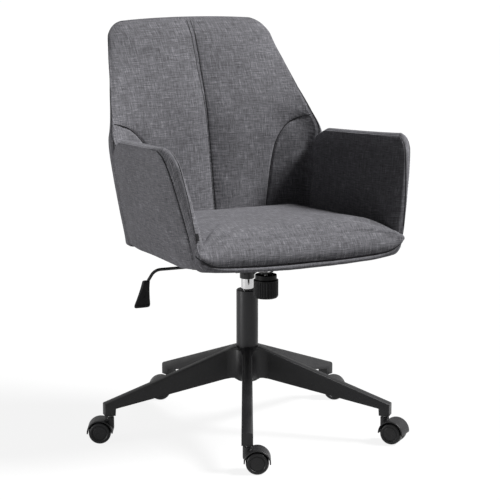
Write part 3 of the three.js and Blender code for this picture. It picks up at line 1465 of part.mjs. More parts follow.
// Dust cover under the board, open round the mechanism.
function undersideCover() {
  const top = SEAT_BOTTOM - FIT;
  const bottom = top - COVER_SHEET;
  const outline = tubOutline(SEAT_BOTTOM + BOARD, COVER_INSET, 0);
  const sheet = prism(outline, bottom, top).intersect(boardPlan(COVER_INSET, bottom, top));
  const w = BRACKET_HALF_WIDTH + 3;
  const opening = box(-w, w, BRACKET_FRONT - 3, BRACKET_REAR + 3, bottom - 1, top + 1);
  return cut(sheet, opening);
}

function seatCushion() {
  const bottom = SEAT_BOTTOM + BOARD + FIT;
  const side = CUSHION_FRONT_TOP - CUSHION_ROUND;
  const falling = (y, z) => {
    const share = (z - bottom) / (CUSHION_FRONT_TOP - bottom);
    const back = (y - SEAT_FRONT) / (backPoint(0, z, 0)[1] - SEAT_FRONT);
    return z - CUSHION_FALL * Math.max(0, share) * back ** 1.5;
  };
  const level = (z, inset) => {
    return tubOutline(z, -2, 0).map(([x, y]) => {
      const reach = Math.hypot(x, y - CUSHION_MIDDLE);
      const keep = 1 - inset / reach;
      const px = x * keep;
      const py = CUSHION_MIDDLE + (y - CUSHION_MIDDLE) * keep;
      return [px, py, falling(py, z)];
    });
  };
  const whole = loft([
    level(bottom, CUSHION_ROUND * 0.1),
    level(bottom + CUSHION_ROUND * 0.25, 0),
    level(lerp(bottom, side, 0.5), 0),
    level(side, 0),
    level(side + CUSHION_ROUND * 0.6, CUSHION_ROUND * 0.18),
    level(side + CUSHION_ROUND * 0.92, CUSHION_ROUND * 0.55),
    level(CUSHION_FRONT_TOP + CUSHION_CROWN * 0.25, CROWN_REACH * 0.2),
    level(CUSHION_FRONT_TOP + CUSHION_CROWN * 0.7, CROWN_REACH * 0.54),
    level(CUSHION_FRONT_TOP + CUSHION_CROWN, CROWN_REACH),
  ]);
  return fitInTub(whole);
}

// ---------------------------------------------------------------- assembly
const chair = new THREE.Group();
chair.name = "swivel_office_chair";

function put(name, shape, finish) {
  const mesh = new THREE.Mesh(geometryOf(shape), finish);
  mesh.name = name;
  chair.add(mesh);
}

put("star_base", starBase(), NYLON);
put("column_tube", columnTube(), PAINTED);
put("guide_bush", guideBush(), NYLON);
put("thrust_bearing", thrustBearing(), STEEL);
put("rubber_bumper", rubberBumper(), RUBBER);
put("retaining_clip", retainingClip(), STEEL);
put("piston_rod", pistonRod(), STEEL);
put("gas_cylinder", gasCylinder(), CHROME);
put("release_pin", releasePin(), STEEL);
put("mechanism_housing", mechanismHousing(), PAINTED);
put("tilt_pivot_pin", tiltPivotPin(), STEEL);
put("seat_bracket", seatBracket(), PAINTED);
screwPlaces().forEach((place, i) => put(SCREW_NAMES[i], seatScrew(place), STEEL));
put("tension_bolt", tensionBolt(), STEEL);
put("tension_knob", tensionKnob(), NYLON);
put("spring_cup", springCup(), STEEL);
put("tension_spring", tensionSpring(), STEEL);
put("lever_bush", leverBush(), NYLON);
put("lever_rod", leverRod(), PAINTED);
put("lever_paddle", leverPaddle(), NYLON);
put("lock_slide", lockSlide(), STEEL);
put("seat_board", seatBoard(), PLYWOOD);
put("underside_cover", undersideCover(), LINING);
put("front_rail", frontRail(0), FABRIC);
put("seat_cushion", seatCushion(), FABRIC);
put("back_frame", backFrame(), PLYWOOD);
put("back_cover", backCover(), FABRIC);
put("back_pad", backPad(), FABRIC);
put("right_arm_frame", armPanel(0), PLYWOOD);
put("left_arm_frame", mirrored(armPanel(0)), PLYWOOD);
put("right_arm_pad", armPad(), FABRIC);
put("left_arm_pad", mirrored(armPad()), FABRIC);

CASTER_HEADINGS.forEach((heading, arm) => {
  const direction = radians(BASE_TURN - 90 + (arm * 360) / ARM_COUNT);
  const place = [STEM_CIRCLE * Math.cos(direction), STEM_CIRCLE * Math.sin(direction), 0];
  const stand = (shape) => shape.rotate([0, 0, heading]).translate(place);
  const label = `caster_${arm + 1}`;
  put(`${label}_stem`, stand(casterStem()), STEEL);
  put(`${label}_hood`, stand(casterHood()), NYLON);
  put(`${label}_axle`, stand(casterAxle()), STEEL);
  put(`${label}_wheel_left`, stand(casterWheel(1)), TREAD);
  put(`${label}_wheel_right`, stand(casterWheel(-1)), TREAD);
});

// The origin is the centre of the footprint, on the floor.
const extent = new THREE.Box3().setFromObject(chair);
const middle = extent.getCenter(new THREE.Vector3());
chair.position.set(-middle.x, -middle.y, -extent.min.z);
chair.updateMatrixWorld(true);

export default chair;
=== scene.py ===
"""Looks of the swivel office chair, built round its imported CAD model.

Everything is in metres.  Design points are given about the column axis, as in the CAD source, and
moved by that axis's place in the frame; the sitter faces -Y.
"""
import json
import math
from contextlib import contextmanager

import bmesh
import bpy
import numpy as np
from mathutils import Matrix, Vector, noise
from mathutils.bvhtree import BVHTree
from mathutils.kdtree import KDTree

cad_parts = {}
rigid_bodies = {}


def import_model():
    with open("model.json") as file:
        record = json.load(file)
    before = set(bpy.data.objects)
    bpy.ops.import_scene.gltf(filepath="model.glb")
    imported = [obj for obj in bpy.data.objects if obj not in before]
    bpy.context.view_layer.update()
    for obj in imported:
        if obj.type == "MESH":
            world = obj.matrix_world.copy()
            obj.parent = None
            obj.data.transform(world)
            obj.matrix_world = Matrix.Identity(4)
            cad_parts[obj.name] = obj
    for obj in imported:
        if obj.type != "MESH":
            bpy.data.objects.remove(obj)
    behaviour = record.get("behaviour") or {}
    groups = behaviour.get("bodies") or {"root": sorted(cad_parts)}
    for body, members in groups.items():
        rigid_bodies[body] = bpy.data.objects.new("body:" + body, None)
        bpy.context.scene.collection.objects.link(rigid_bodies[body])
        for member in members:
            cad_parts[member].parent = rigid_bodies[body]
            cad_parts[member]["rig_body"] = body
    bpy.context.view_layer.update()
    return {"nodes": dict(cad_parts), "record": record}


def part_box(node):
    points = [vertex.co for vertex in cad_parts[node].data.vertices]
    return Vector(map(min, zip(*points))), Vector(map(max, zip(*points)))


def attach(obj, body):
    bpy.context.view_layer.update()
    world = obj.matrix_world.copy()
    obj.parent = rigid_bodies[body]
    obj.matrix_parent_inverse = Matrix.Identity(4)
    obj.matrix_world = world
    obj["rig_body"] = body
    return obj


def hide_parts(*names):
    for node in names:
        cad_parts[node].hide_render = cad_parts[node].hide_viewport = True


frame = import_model()
bpy.context.scene.view_settings.view_transform = "Standard"

MM = 0.001


def centre_of(node):
    low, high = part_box(node)
    return (low + high) / 2


def heights_mm(node):
    return (corner.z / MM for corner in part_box(node))


def new_object(name, data):
    piece = bpy.data.objects.new(name, data)
    bpy.context.scene.collection.objects.link(piece)
    return piece


AXIS = Vector((centre_of("column_tube").x, centre_of("column_tube").y, 0.0))
ORIGIN = np.array(AXIS)


# ---------------------------------------------------------------- stage, camera and light
CAMERA_REACH = 4.0  # along the floor from the column
CAMERA_HEIGHT = 1.19
CAMERA_TURN = -25.0  # degrees
CAMERA_PITCH = 10.87  # degrees
CAMERA_PAN = 0.0016  # radians past the column
CAMERA_LENS = 128.7
AIM_HEIGHT = 0.55  # of the point that the lamps look at
# The key light: degrees from straight ahead to the sitter's left, degrees up, and its distance.
KEY_TURN, KEY_ELEVATION, KEY_REACH = 61, 47, 5
KEY_POWER, KEY_SPREAD = 5.6, 20
FILL_PLACE, FILL_POWER, FILL_SIZE = (-2.6, 0.0, 0.5), 28, 0.8
WORLD_LIGHT = 0.05
MIRRORED = 0.5  # how bright the surroundings are in reflections
FLOOR_BOUNCE = 0.3  # how pale the floor is to the light that it throws back
FLOOR_GLOW = 0.88  # share of the floor that shines by itself where it is seen
FLOOR_SIZE = 60.0
WHITE = (1, 1, 1, 1)
SETTINGS = ("operation", "data_type", "uv_map")


class Graph:
    """A node tree with short calls; a node given as an input stands for its first output."""

    def __init__(self, tree):
        self.tree = tree
        tree.nodes.clear()

    def add(self, kind, **inputs):
        """Adds a node; i0 names its first input socket, i1 the second and so on."""
        node = self.tree.nodes.new("ShaderNode" + kind)
        for key in SETTINGS:
            if key in inputs:
                setattr(node, key, inputs.pop(key))
        for key, value in inputs.items():
            socket = node.inputs[int(key[1:]) if key[1:].isdigit() else key.replace("_", " ")]
            if isinstance(value, bpy.types.Node):
                value = value.outputs[0]
            if isinstance(value, bpy.types.NodeSocket):
                self.tree.links.new(value, socket)
            else:
                socket.default_value = value
        return node

    def calc(self, operation, *values, kind="Math", **inputs):
        inputs.update({f"i{k}": value for k, value in enumerate(values)})
        return self.add(kind, operation=operation, **inputs)

    def mapped(self, value, low, high, to_low, to_high):
        ends = {"From_Min": low, "From_Max": high, "To_Min": to_low, "To_Max": to_high}
        return self.add("MapRange", Value=value, **ends)

    def point(self):
        return self.add("TexCoord").outputs["Object"]

    def noise(self, vector, scale, detail=2.0, roughness=0.5):
        """Noise with one scale for all axes or for each, so that 1 is one grain per metre."""
        scale = scale if isinstance(scale, tuple) else (scale,) * 3
        mapped = self.add("Mapping", Vector=vector, Scale=scale)
        return self.add("TexNoise", Vector=mapped, Scale=1.0, Detail=detail, Roughness=roughness)

    def ramp(self, value, *stops):
        """A colour ramp; stops are (position, colour or grey level) pairs."""
        node = self.add("ValToRGB", Fac=value)
        elements = node.color_ramp.elements
        while len(elements) < len(stops):
            elements.new(0.5)
        for element, (position, colour) in zip(elements, stops):
            element.position = position
            element.color = (*(colour if isinstance(colour, tuple) else grey(colour)), 1)
        return node

    def surface(self, bump=None, **inputs):
        """Ends the tree in a principled surface; bump is (height, strength, depth in mm)."""
        if bump:
            height, strength, depth = bump
            depth *= MM
            inputs["Normal"] = self.add("Bump", Strength=strength, Distance=depth, Height=height)
        self.add("OutputMaterial", Surface=self.add("BsdfPrincipled", **inputs))


def grey(level, tint=(1.0, 0.985, 1.07)):
    return tuple(level * t for t in tint)


def start_material(name):
    material = bpy.data.materials.new(name)
    material.use_nodes = True
    return material, Graph(material.node_tree)


def make_camera():
    turn = math.radians(CAMERA_TURN)
    data = bpy.data.cameras.new("camera")
    data.lens = CAMERA_LENS
    data.sensor_width = 36.0
    camera = new_object("camera", data)
    place = (math.sin(turn) * CAMERA_REACH, -math.cos(turn) * CAMERA_REACH, CAMERA_HEIGHT)
    camera.location = AXIS + Vector(place)
    camera.rotation_euler = (math.radians(90 - CAMERA_PITCH), 0.0, turn - CAMERA_PAN)
    bpy.context.scene.camera = camera


def make_world():
    """White to the camera, half as bright in reflections, a faint grey to what it lights."""
    world = bpy.data.worlds.new("studio")
    world.use_nodes = True
    graph = Graph(world.node_tree)
    path = graph.add("LightPath").outputs
    seen = graph.calc("MAXIMUM", path["Is Camera Ray"], path["Is Transmission Ray"])
    either = graph.calc("MAXIMUM", seen, graph.calc("MULTIPLY", path["Is Glossy Ray"], MIRRORED))
    strength = graph.mapped(either, 0.0, 1.0, WORLD_LIGHT, 1.0)
    graph.add("OutputWorld", Surface=graph.add("Background", Color=WHITE, Strength=strength))
    bpy.context.scene.world = world


def make_floor():
    """A pale floor that shows white to the camera and keeps a soft shadow."""
    mesh = bpy.data.meshes.new("floor")
    half = FLOOR_SIZE / 2
    corners = [(-half, -half, 0), (half, -half, 0), (half, half, 0), (-half, half, 0)]
    mesh.from_pydata(corners, [], [(0, 1, 2, 3)])
    floor = new_object("floor", mesh)
    material, graph = start_material("floor_paper")
    path = graph.add("LightPath").outputs
    mirrored = graph.calc("MULTIPLY", path["Is Glossy Ray"], MIRRORED)
    seen = graph.calc("MAXIMUM", path["Is Camera Ray"], mirrored)
    share = graph.calc("MULTIPLY", seen, FLOOR_GLOW)
    paper = graph.add("BsdfDiffuse", Color=graph.mapped(seen, 0.0, 1.0, FLOOR_BOUNCE, 0.9))
    glow = graph.add("Emission", Color=WHITE, Strength=1.0)
    graph.add("OutputMaterial", Surface=graph.add("MixShader", Fac=share, i1=paper, i2=glow))
    mesh.materials.append(material)


def make_light(name, kind, place, energy, **settings):
    """A lamp at a place about the column, turned to the middle of the chair."""
    data = bpy.data.lights.new(name, kind)
    data.energy = energy
    for key, value in settings.items():
        setattr(data, key, value)
    lamp = new_object(name, data)
    lamp.location = AXIS + Vector(place)
    target = AXIS + Vector((0, 0, AIM_HEIGHT))
    lamp.rotation_euler = (target - lamp.location).to_track_quat("-Z", "Y").to_euler()


def make_lights():
    turn, elevation = math.radians(KEY_TURN), math.radians(KEY_ELEVATION)
    level = math.cos(elevation)
    across, along = KEY_REACH * level * math.sin(turn), -KEY_REACH * level * math.cos(turn)
    place = (across, along, AIM_HEIGHT + KEY_REACH * math.sin(elevation))
    make_light("key", "SUN", place, KEY_POWER, angle=math.radians(KEY_SPREAD))
    make_light("side_fill", "AREA", FILL_PLACE, FILL_POWER, shape="DISK", size=FILL_SIZE)


# ---------------------------------------------------------------- materials
THREAD_PITCH = 1.7 * MM
YARN_GRAIN = 45.0  # grains per metre along a yarn
SLUBS = ((330.0, 13.0, 1.0), (13.0, 330.0, 1.0))
LINEN_TONES = ((0.56, 0.048), (0.75, 0.110), (0.87, 0.155), (1.05, 0.28))


def linen(name, shade=1.0):
    """Dark mixed-yarn linen: a plain weave whose warp and weft carry light and dark slubs."""
    material, graph = start_material(name)
    uv = graph.add("UVMap", uv_map="weave")
    wobble = graph.add("TexNoise", Vector=uv, Scale=90.0, Detail=1.0).outputs["Color"]
    centred = graph.calc("SUBTRACT", wobble, (0.5, 0.5, 0.5), kind="VectorMath")
    shift = graph.calc("SCALE", centred, kind="VectorMath", Scale=1.6 * MM)
    bent = graph.calc("ADD", uv, shift, kind="VectorMath")
    fine = 1 / THREAD_PITCH
    warp = graph.noise(bent, (fine * 0.8, YARN_GRAIN, 1.0))
    weft = graph.noise(bent, (YARN_GRAIN, fine * 0.8, 1.0))
    split = graph.add("SeparateXYZ", Vector=bent).outputs
    waves = [graph.calc("SINE", graph.calc("MULTIPLY", split[k], math.pi * fine)) for k in (0, 1)]
    weave = graph.calc("MULTIPLY", *waves)
    over = graph.mapped(weave, -0.35, 0.35, 0.0, 1.0)
    yarn = graph.add("Mix", data_type="FLOAT", i0=over, i2=warp, i3=weft)
    mixed = graph.calc("MULTIPLY_ADD", graph.noise(uv, (9.0, 9.0, 1.0), 3.0, 0.6), 0.16, yarn)
    for scale in SLUBS:
        mixed = graph.calc("MULTIPLY_ADD", graph.noise(bent, scale), 0.20, mixed)
    # A shade below 1 darkens every tone, for a copy of the linen that carries painted shade.
    colour = graph.ramp(mixed, *((place, level * shade) for place, level in LINEN_TONES))
    height = graph.calc("MULTIPLY_ADD", weave, 0.35, yarn)
    finish = {"Roughness": 0.92, "Specular_IOR_Level": 0.25, "Sheen_Weight": 0.15}
    finish |= {"Sheen_Roughness": 0.45, "Sheen_Tint": (0.8, 0.8, 0.86, 1)}
    graph.surface((height, 0.55, 0.5), Base_Color=colour, **finish)
    return material


def moulded(name, level, gloss, grain, grain_size, shine=0.35):
    """Moulded or painted black surface: fine grain, cloudy gloss and faint dust."""
    material, graph = start_material(name)
    point = graph.point()
    fine = graph.noise(point, grain_size, 2.0, 0.6)
    cloud = graph.noise(point, 22.0, 4.0, 0.6)
    speck = graph.noise(point, 620.0, 1.0)
    dust = graph.mapped(speck, 0.69, 0.76, 0.0, 0.35)
    tone = graph.ramp(cloud, (0.35, level * 0.8), (0.7, level * 1.25))
    colour = graph.add("Mix", data_type="RGBA", i0=dust, i6=tone, i7=(*grey(0.16), 1)).outputs[2]
    rough = graph.mapped(cloud, 0.3, 0.7, gloss - 0.06, gloss + 0.08)
    graph.surface((fine, grain, 0.3), Base_Color=colour, Roughness=rough, Specular_IOR_Level=shine)
    return material


def metal(name, level, rough, streaks):
    """Bright or dull metal with fine turned or drawn marks."""
    material, graph = start_material(name)
    point = graph.point()
    drawn = graph.noise(point, streaks)
    cloud = graph.noise(point, 40.0, 3.0)
    tint = (1, 1, 1.01)
    colour = graph.ramp(drawn, (0.3, grey(level * 0.92, tint)), (0.7, grey(level, tint)))
    gloss = graph.mapped(cloud, 0.3, 0.7, rough * 0.8, rough * 1.3)
    graph.surface((drawn, 0.15, 0.05), Base_Color=colour, Metallic=1.0, Roughness=gloss)
    return material


def plywood(name):
    """Plywood stained black, with long grain."""
    material, graph = start_material(name)
    grain = graph.noise(graph.point(), (8.0, 160.0, 160.0), 4.0, 0.65)
    tones = (
        (0.3, (0.018, 0.015, 0.012)),
        (0.55, (0.032, 0.027, 0.022)),
        (0.75, (0.048, 0.041, 0.034)),
    )
    graph.surface((grain, 0.3, 0.2), Base_Color=graph.ramp(grain, *tones), Roughness=0.7)
    return material


def lining(name):
    """Thin black non-woven felt, with a pressed dot pattern."""
    material, graph = start_material(name)
    point = graph.point()
    fibres = graph.noise(point, (700.0, 260.0, 500.0), 4.0, 0.7)
    dots = graph.add("TexVoronoi", Vector=point, Scale=420.0).outputs["Distance"]
    height = graph.calc("ADD", fibres, dots)
    colour = graph.ramp(fibres, (0.3, 0.012), (0.75, 0.04))
    graph.surface((height, 0.5, 0.3), Base_Color=colour, Roughness=0.95)
    return material


def sewing_thread(name):
    material, graph = start_material(name)
    colour = graph.ramp(graph.noise(graph.point(), 1400.0, 1.0), (0.3, 0.05), (0.7, 0.13))
    graph.surface(Base_Color=colour, Roughness=0.75, Sheen_Weight=0.2)
    return material


LINEN = linen("grey_linen")
# A darker copy of the linen: painted shade for the cords in the seams' creases.
SEAM_SHADE = linen("linen_painted_seam_shade", 0.16)
THREAD = sewing_thread("grey_thread")
LINING = lining("black_felt")
PLYWOOD = plywood("stained_plywood")
NYLON = moulded("black_nylon", 0.010, 0.42, 0.35, 1500.0)
WHEEL = moulded("wheel_nylon", 0.011, 0.36, 0.15, 1800.0, 0.3)
KNOB = moulded("knob_nylon", 0.004, 0.45, 0.3, 1500.0, 0.16)
RUBBER = moulded("black_rubber", 0.012, 0.75, 0.4, 900.0)
PAINT = moulded("black_powder_coat", 0.019, 0.38, 0.3, 1100.0)
CHROME = metal("chrome", 0.62, 0.14, (30.0, 30.0, 900.0))
ZINC = metal("zinc_steel", 0.55, 0.32, 300.0)
OXIDE = metal("black_oxide_steel", 0.045, 0.4, 300.0)
MATERIAL_OF_SLOT = dict(
    grey_linen=LINEN, lining=LINING, plywood=PLYWOOD, black_nylon=NYLON,
    wheel_nylon=WHEEL, rubber=RUBBER,
    black_paint=PAINT, black_satin_metal=PAINT, chrome=CHROME, zinc_steel=ZINC,
)


# ---------------------------------------------------------------- mesh helpers
def smooth_step(low, high, value):
    t = np.clip((np.asarray(value, float) - low) / (high - low), 0, 1)
    return t * t * (3 - 2 * t)


def unit(vectors):
    return vectors / np.maximum(np.linalg.norm(vectors, axis=-1, keepdims=True), 1e-12)


def spline(a, b, c, d, t):
    """A smooth curve from b to c; a and d are the values before and after."""
    return b + 0.5 * t * (c - a + t * (2 * a - 5 * b + 4 * c - d + t * (3 * (b - c) + d - a)))


def run_of(line):
    """Running length at each point of a line."""
    return np.concatenate([[0], np.cumsum(np.linalg.norm(np.diff(line, axis=0), axis=1))])


def picked(line, run, at):
    """The points of a line at given running lengths."""
    return np.stack([np.interp(at, run, line[:, k]) for k in range(line.shape[1])], -1)


def cell_corners(grid):
    return [grid[:-1, :-1], grid[:-1, 1:], grid[1:, 1:], grid[1:, :-1]]


def quads(index):
    """Faces of a grid of vertex numbers."""
    return np.stack(cell_corners(index), -1).reshape(-1, 4)


def looped(grid, axis=1):
    """A grid with its first column or row repeated at the end."""
    return np.concatenate([grid, np.take(grid, [0], axis)], axis)


def tube_faces(rows, sides, ends="capped"):
    """Faces of rings of points; the ends are capped, joined to each other or left open."""
    index = np.arange(rows * sides).reshape(rows, sides)
    closed = looped(index)
    faces = quads(closed).tolist()
    if ends == "capped":
        faces += [index[0][::-1].tolist(), index[-1].tolist()]
    if ends == "joined":
        faces += quads(closed[[-1, 0]]).tolist()
    return faces


def tube(rings, ends="capped"):
    """Points and faces of a form given as rings of points."""
    rings = np.asarray(rings)
    return rings.reshape(-1, 3), tube_faces(*rings.shape[:2], ends)


def merged(forms):
    points, faces, count = [], [], 0
    for form_points, form_faces in forms:
        form_points = np.asarray(form_points, float)
        points.append(form_points)
        faces.extend([[v + count for v in face] for face in form_faces])
        count += len(form_points)
    return np.concatenate(points), faces


class Cloth:
    """Collects grids of points with their weave coordinates and joins them into one closed mesh."""

    def __init__(self):
        self.points, self.faces, self.weave = [], [], []
        self.count = 0

    def add_points(self, grid):
        index = self.count + np.arange(grid.shape[0] * grid.shape[1]).reshape(grid.shape[:2])
        self.points.append(grid.reshape(-1, 3))
        self.count += index.size
        return index

    def patch(self, index, weave):
        self.faces.append(quads(index))
        self.weave.append(np.stack(cell_corners(weave), 2).reshape(-1, 4, 2))

    def fan(self, ring):
        """Closes a ring of vertex numbers round a point at its middle."""
        points = np.concatenate(self.points)
        middle = points[ring].mean(0)
        centre = self.add_points(middle[None, None])[0, 0]
        following = np.roll(ring, -1)
        self.faces.append(np.stack([ring, following, np.full(len(ring), centre)], -1))
        centres = np.tile(middle[:2], (len(ring), 1))
        corners = [points[ring][:, :2], points[following][:, :2], centres]
        self.weave.append(np.stack(corners, 1))

    def build(self, name):
        points = np.concatenate(self.points) + ORIGIN
        faces = [tuple(face) for part in self.faces for face in part.tolist()]
        weave = np.concatenate([part.reshape(-1, 2) for part in self.weave])
        return mesh_object(name, points, faces, LINEN, weave)


@contextmanager
def edited(mesh):
    """Gives a mesh for editing and writes it back."""
    work = bmesh.new()
    work.from_mesh(mesh)
    yield work
    work.to_mesh(mesh)
    work.free()


def mesh_object(name, points, faces, material, weave=None):
    """A smooth mesh with its faces turned outwards; weave holds metres (u, v) per corner."""
    mesh = bpy.data.meshes.new(name)
    mesh.from_pydata([tuple(p) for p in points], [], faces)
    if weave is not None:
        layer = mesh.uv_layers.new(name="weave")
        layer.data.foreach_set("uv", np.asarray(weave, np.float32).ravel())
    with edited(mesh) as work:
        bmesh.ops.recalc_face_normals(work, faces=work.faces)
    mesh.materials.append(material)
    mesh.polygons.foreach_set("use_smooth", np.ones(len(mesh.polygons), bool))
    return new_object(name, mesh)


def points_of(mesh):
    points = np.empty(len(mesh.vertices) * 3)
    mesh.vertices.foreach_get("co", points)
    return points.reshape(-1, 3)


def applied_mesh(piece):
    bpy.context.view_layer.update()
    depsgraph = bpy.context.evaluated_depsgraph_get()
    return bpy.data.meshes.new_from_object(piece.evaluated_get(depsgraph))


def surface_of(piece):
    """The piece's surface, for finding the nearest point on it."""
    polygons = [tuple(p.vertices) for p in piece.data.polygons]
    return BVHTree.FromPolygons([v.co for v in piece.data.vertices], polygons)


def tree_of(points):
    tree = KDTree(len(points))
    for number, point in enumerate(points):
        tree.insert(point, number)
    tree.balance()
    return tree


def distances(points, line):
    """Distance of each point to the nearest of a line's points."""
    tree = tree_of(line)
    flat = points.reshape(-1, 3)
    return np.fromiter((tree.find(p)[2] for p in flat), float, len(flat)).reshape(points.shape[:-1])


def noise_at(points, scale, seed):
    offset = Vector((seed * 7.31, seed * 3.17, seed * 5.77))
    flat = points.reshape(-1, 3)
    values = np.fromiter((noise.noise(Vector(p) * scale + offset) for p in flat), float, len(flat))
    return values.reshape(points.shape[:-1])


def through(knots, count):
    """A smooth line through given knots, as count points evenly spread over the knots."""
    knots = np.asarray(knots, float)
    padded = np.vstack([2 * knots[0] - knots[1], knots, 2 * knots[-1] - knots[-2]])
    at = np.linspace(0, len(knots) - 1 - 1e-9, count)
    i = at.astype(int)
    return spline(*(padded[i + k] for k in range(4)), (at - i)[:, None])


def arc_lengths(grid, axis):
    """Running length along one axis of a grid of points."""
    steps = np.linalg.norm(np.diff(grid, axis=axis), axis=-1)
    shape = list(grid.shape[:2])
    shape[axis] = 1
    return np.concatenate([np.zeros(shape), np.cumsum(steps, axis=axis)], axis=axis)


def sweep(path, radius, sides):
    """Points and faces of a round bar along a path."""
    path = np.asarray(path, float)
    tangent = unit(np.gradient(path, axis=0))
    normal = np.cross(tangent[0], (0.0, 1.0, 0.0))
    if np.linalg.norm(normal) < 1e-3:
        normal = np.cross(tangent[0], (0.0, 0.0, 1.0))
    turns = np.linspace(0, 2 * math.pi, sides, endpoint=False)[:, None]
    rings = []
    for p, t in zip(path, tangent):
        normal = unit(normal - t * np.dot(normal, t))
        other = np.cross(t, normal)
        rings.append(p + radius * (np.cos(turns) * normal + np.sin(turns) * other))
    return tube(rings)


# ---------------------------------------------------- forms of the tub, as in the CAD source
SEAT_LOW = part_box("seat_board")[0].z
BACK_LOW = SEAT_LOW - 3 * MM
BACK_HEIGHT = 501 * MM
BACK_HIGH = BACK_LOW + BACK_HEIGHT
BACK_HALF_WIDTH = 268 * MM
BACK_FOOT = 188 * MM
BACK_RECLINE = 158 * MM
BACK_THICKNESS = 60 * MM
BACK_SIDE_THICKNESS = 40 * MM
BACK_CROWN = 5 * MM
WRAP_POWER = 3.7
# Shares of the sizes above, bottom to top: height, half width, recline, thickness in the middle
# and at the side; and the angle by which the side curls forward.
BACK_SECTIONS = np.array(
    [
        (0, 0.907, 0, 0.967, 0.8, 90),
        (0.152, 0.944, 0.095, 1, 0.775, 90),
        (0.301, 0.981, 0.184, 1, 0.75, 90),
        (0.471, 1, 0.285, 1, 0.75, 90),
        (0.565, 0.963, 0.354, 0.967, 0.8, 72),
        (0.671, 0.91, 0.481, 0.933, 0.85, 48),
        (0.804, 0.843, 0.677, 0.883, 0.925, 26),
        (0.92, 0.776, 0.867, 0.833, 1, 8),
        (1, 0.731, 1, 0.8, 1, 0),
    ],
    float,
)
CURL_STEPS = 240
SEAT_FRONT = -283 * MM
CUSHION_LOW = SEAT_LOW + 12 * MM
CUSHION_HIGH = SEAT_LOW + 76 * MM
CUSHION_FALL = 24 * MM
CUSHION_CROWN = 14 * MM
CUSHION_ROUND = 22 * MM
RAIL_HEIGHT = 9 * MM
RAIL_RISE = 11 * MM
RAIL_DEPTH = 20 * MM
ARM_LOW_FRONT = SEAT_LOW + RAIL_RISE
ARM_LOW_REAR = SEAT_LOW - 2 * MM
ARM_HEIGHT = 250 * MM
ARM_TOP_FRONT = ARM_LOW_FRONT + ARM_HEIGHT
ARM_TOP_REAR = ARM_TOP_FRONT - 23 * MM
ARM_FRONT = SEAT_FRONT - 2 * MM
ARM_LEAN = 50 * MM
ARM_LEAN_POWER = 2.2
ARM_FOOT_RISE = 4
ARM_REAR_DIP = 14 * MM
ARM_DIP_START = 0.93
ARM_HALF_LOW, ARM_HALF_HIGH = 249 * MM, 299 * MM
ARM_THICK_LOW, ARM_THICK_HIGH = 37 * MM, 28 * MM


def back_section(z):
    """Half width, middle, thicknesses and curl of the back at a height."""
    rises = BACK_SECTIONS[:, 0]
    share = min(max((z - BACK_LOW) / BACK_HEIGHT, 0.0), 1.0)
    last = len(rises) - 1
    i = min(max(int(np.searchsorted(rises, share, side="left")) - 1, 0), last - 1)
    t = (share - rises[i]) / (rises[i + 1] - rises[i])
    knots = (BACK_SECTIONS[min(max(k, 0), last), 1:] for k in (i - 1, i, i + 1, i + 2))
    half, lean, thick, edge, curl = spline(*knots, t)
    middle = BACK_FOOT + BACK_RECLINE * lean
    return BACK_HALF_WIDTH * half, middle, BACK_THICKNESS * thick, BACK_SIDE_THICKNESS * edge, curl


def corner_rounding(z, top, corner):
    """How far an edge lies inside its straight line at a height, for a rounded corner."""
    above = max(0.0, z - (top - corner))
    return corner - math.sqrt(max(0.0, corner**2 - above**2))


BACK_CORNER = 27 * MM


def back_row(z, sides, depth, corner=BACK_CORNER):
    """Points of the back at a height; sides run from -1 to 1, depth from 0 (sitter) to 1."""
    half, mid, thick, edge, curl = back_section(z)
    curl = math.radians(min(curl, 90.0))
    s = np.linspace(0, 1, CURL_STEPS + 1)
    bend = curl * ((s[1:] + s[:-1]) / 2) ** WRAP_POWER
    run = np.concatenate([[0], np.cumsum(np.cos(bend))]) / CURL_STEPS
    fall = -np.concatenate([[0], np.cumsum(np.sin(bend))]) / CURL_STEPS
    scale = (half - corner_rounding(z, BACK_HIGH, corner) - edge / 2 * math.sin(curl)) / run[-1]
    side = np.abs(sides)
    angle = curl * side**WRAP_POWER
    offset = (depth - 0.5) * (thick + (edge - thick) * side**2.5)
    rise = BACK_CROWN * (max(0.0, z - BACK_LOW) / (BACK_HIGH - BACK_LOW)) ** 3
    x = np.interp(side, s, run) * scale + offset * np.sin(angle)
    y = mid + np.interp(side, s, fall) * scale + offset * np.cos(angle)
    return np.stack([np.sign(sides) * x, y, z - rise * side**2], -1)


def arm_top(station):
    dip = ARM_REAR_DIP * np.maximum(0, (station - ARM_DIP_START) / (1 - ARM_DIP_START)) ** 2
    return ARM_TOP_FRONT + (ARM_TOP_REAR - ARM_TOP_FRONT) * station - dip


def arm_foot(station):
    return ARM_LOW_FRONT + (ARM_LOW_REAR - ARM_LOW_FRONT) * np.minimum(1, station * ARM_FOOT_RISE)


def arm_half(rise):
    """Half the width over the arms' outer sides at a share of their height."""
    return ARM_HALF_LOW + (ARM_HALF_HIGH - ARM_HALF_LOW) * rise


def arm_point(station, level, depth, corner=0.0):
    """A point of the right arm: station 0 (front) to 1, level 0 to 1, depth 0 (sitter) to 1."""
    foot = arm_foot(station)
    z = foot + (arm_top(station) - foot) * level
    rise = (z - ARM_LOW_FRONT) / ARM_HEIGHT
    rounding = corner_rounding(z, ARM_TOP_FRONT, corner) if corner else 0.0
    front_y = ARM_FRONT + ARM_LEAN * max(0.0, rise) ** ARM_LEAN_POWER + rounding
    rear = back_row(z, np.array([1.0]), depth)[0]
    thick = ARM_THICK_LOW + (ARM_THICK_HIGH - ARM_THICK_LOW) * rise
    front_x = arm_half(rise) - thick * (1 - depth)
    share = station**0.9
    x, y = front_x + (rear[0] - front_x) * share, front_y + (rear[1] - front_y) * station
    return np.array([x, y, z])


# ---------------------------------------------------------------- padded panels
STRIP_STEPS = 10
WEAVE_SHIFT = 0.37  # sets the strip's weave apart from the sheets'


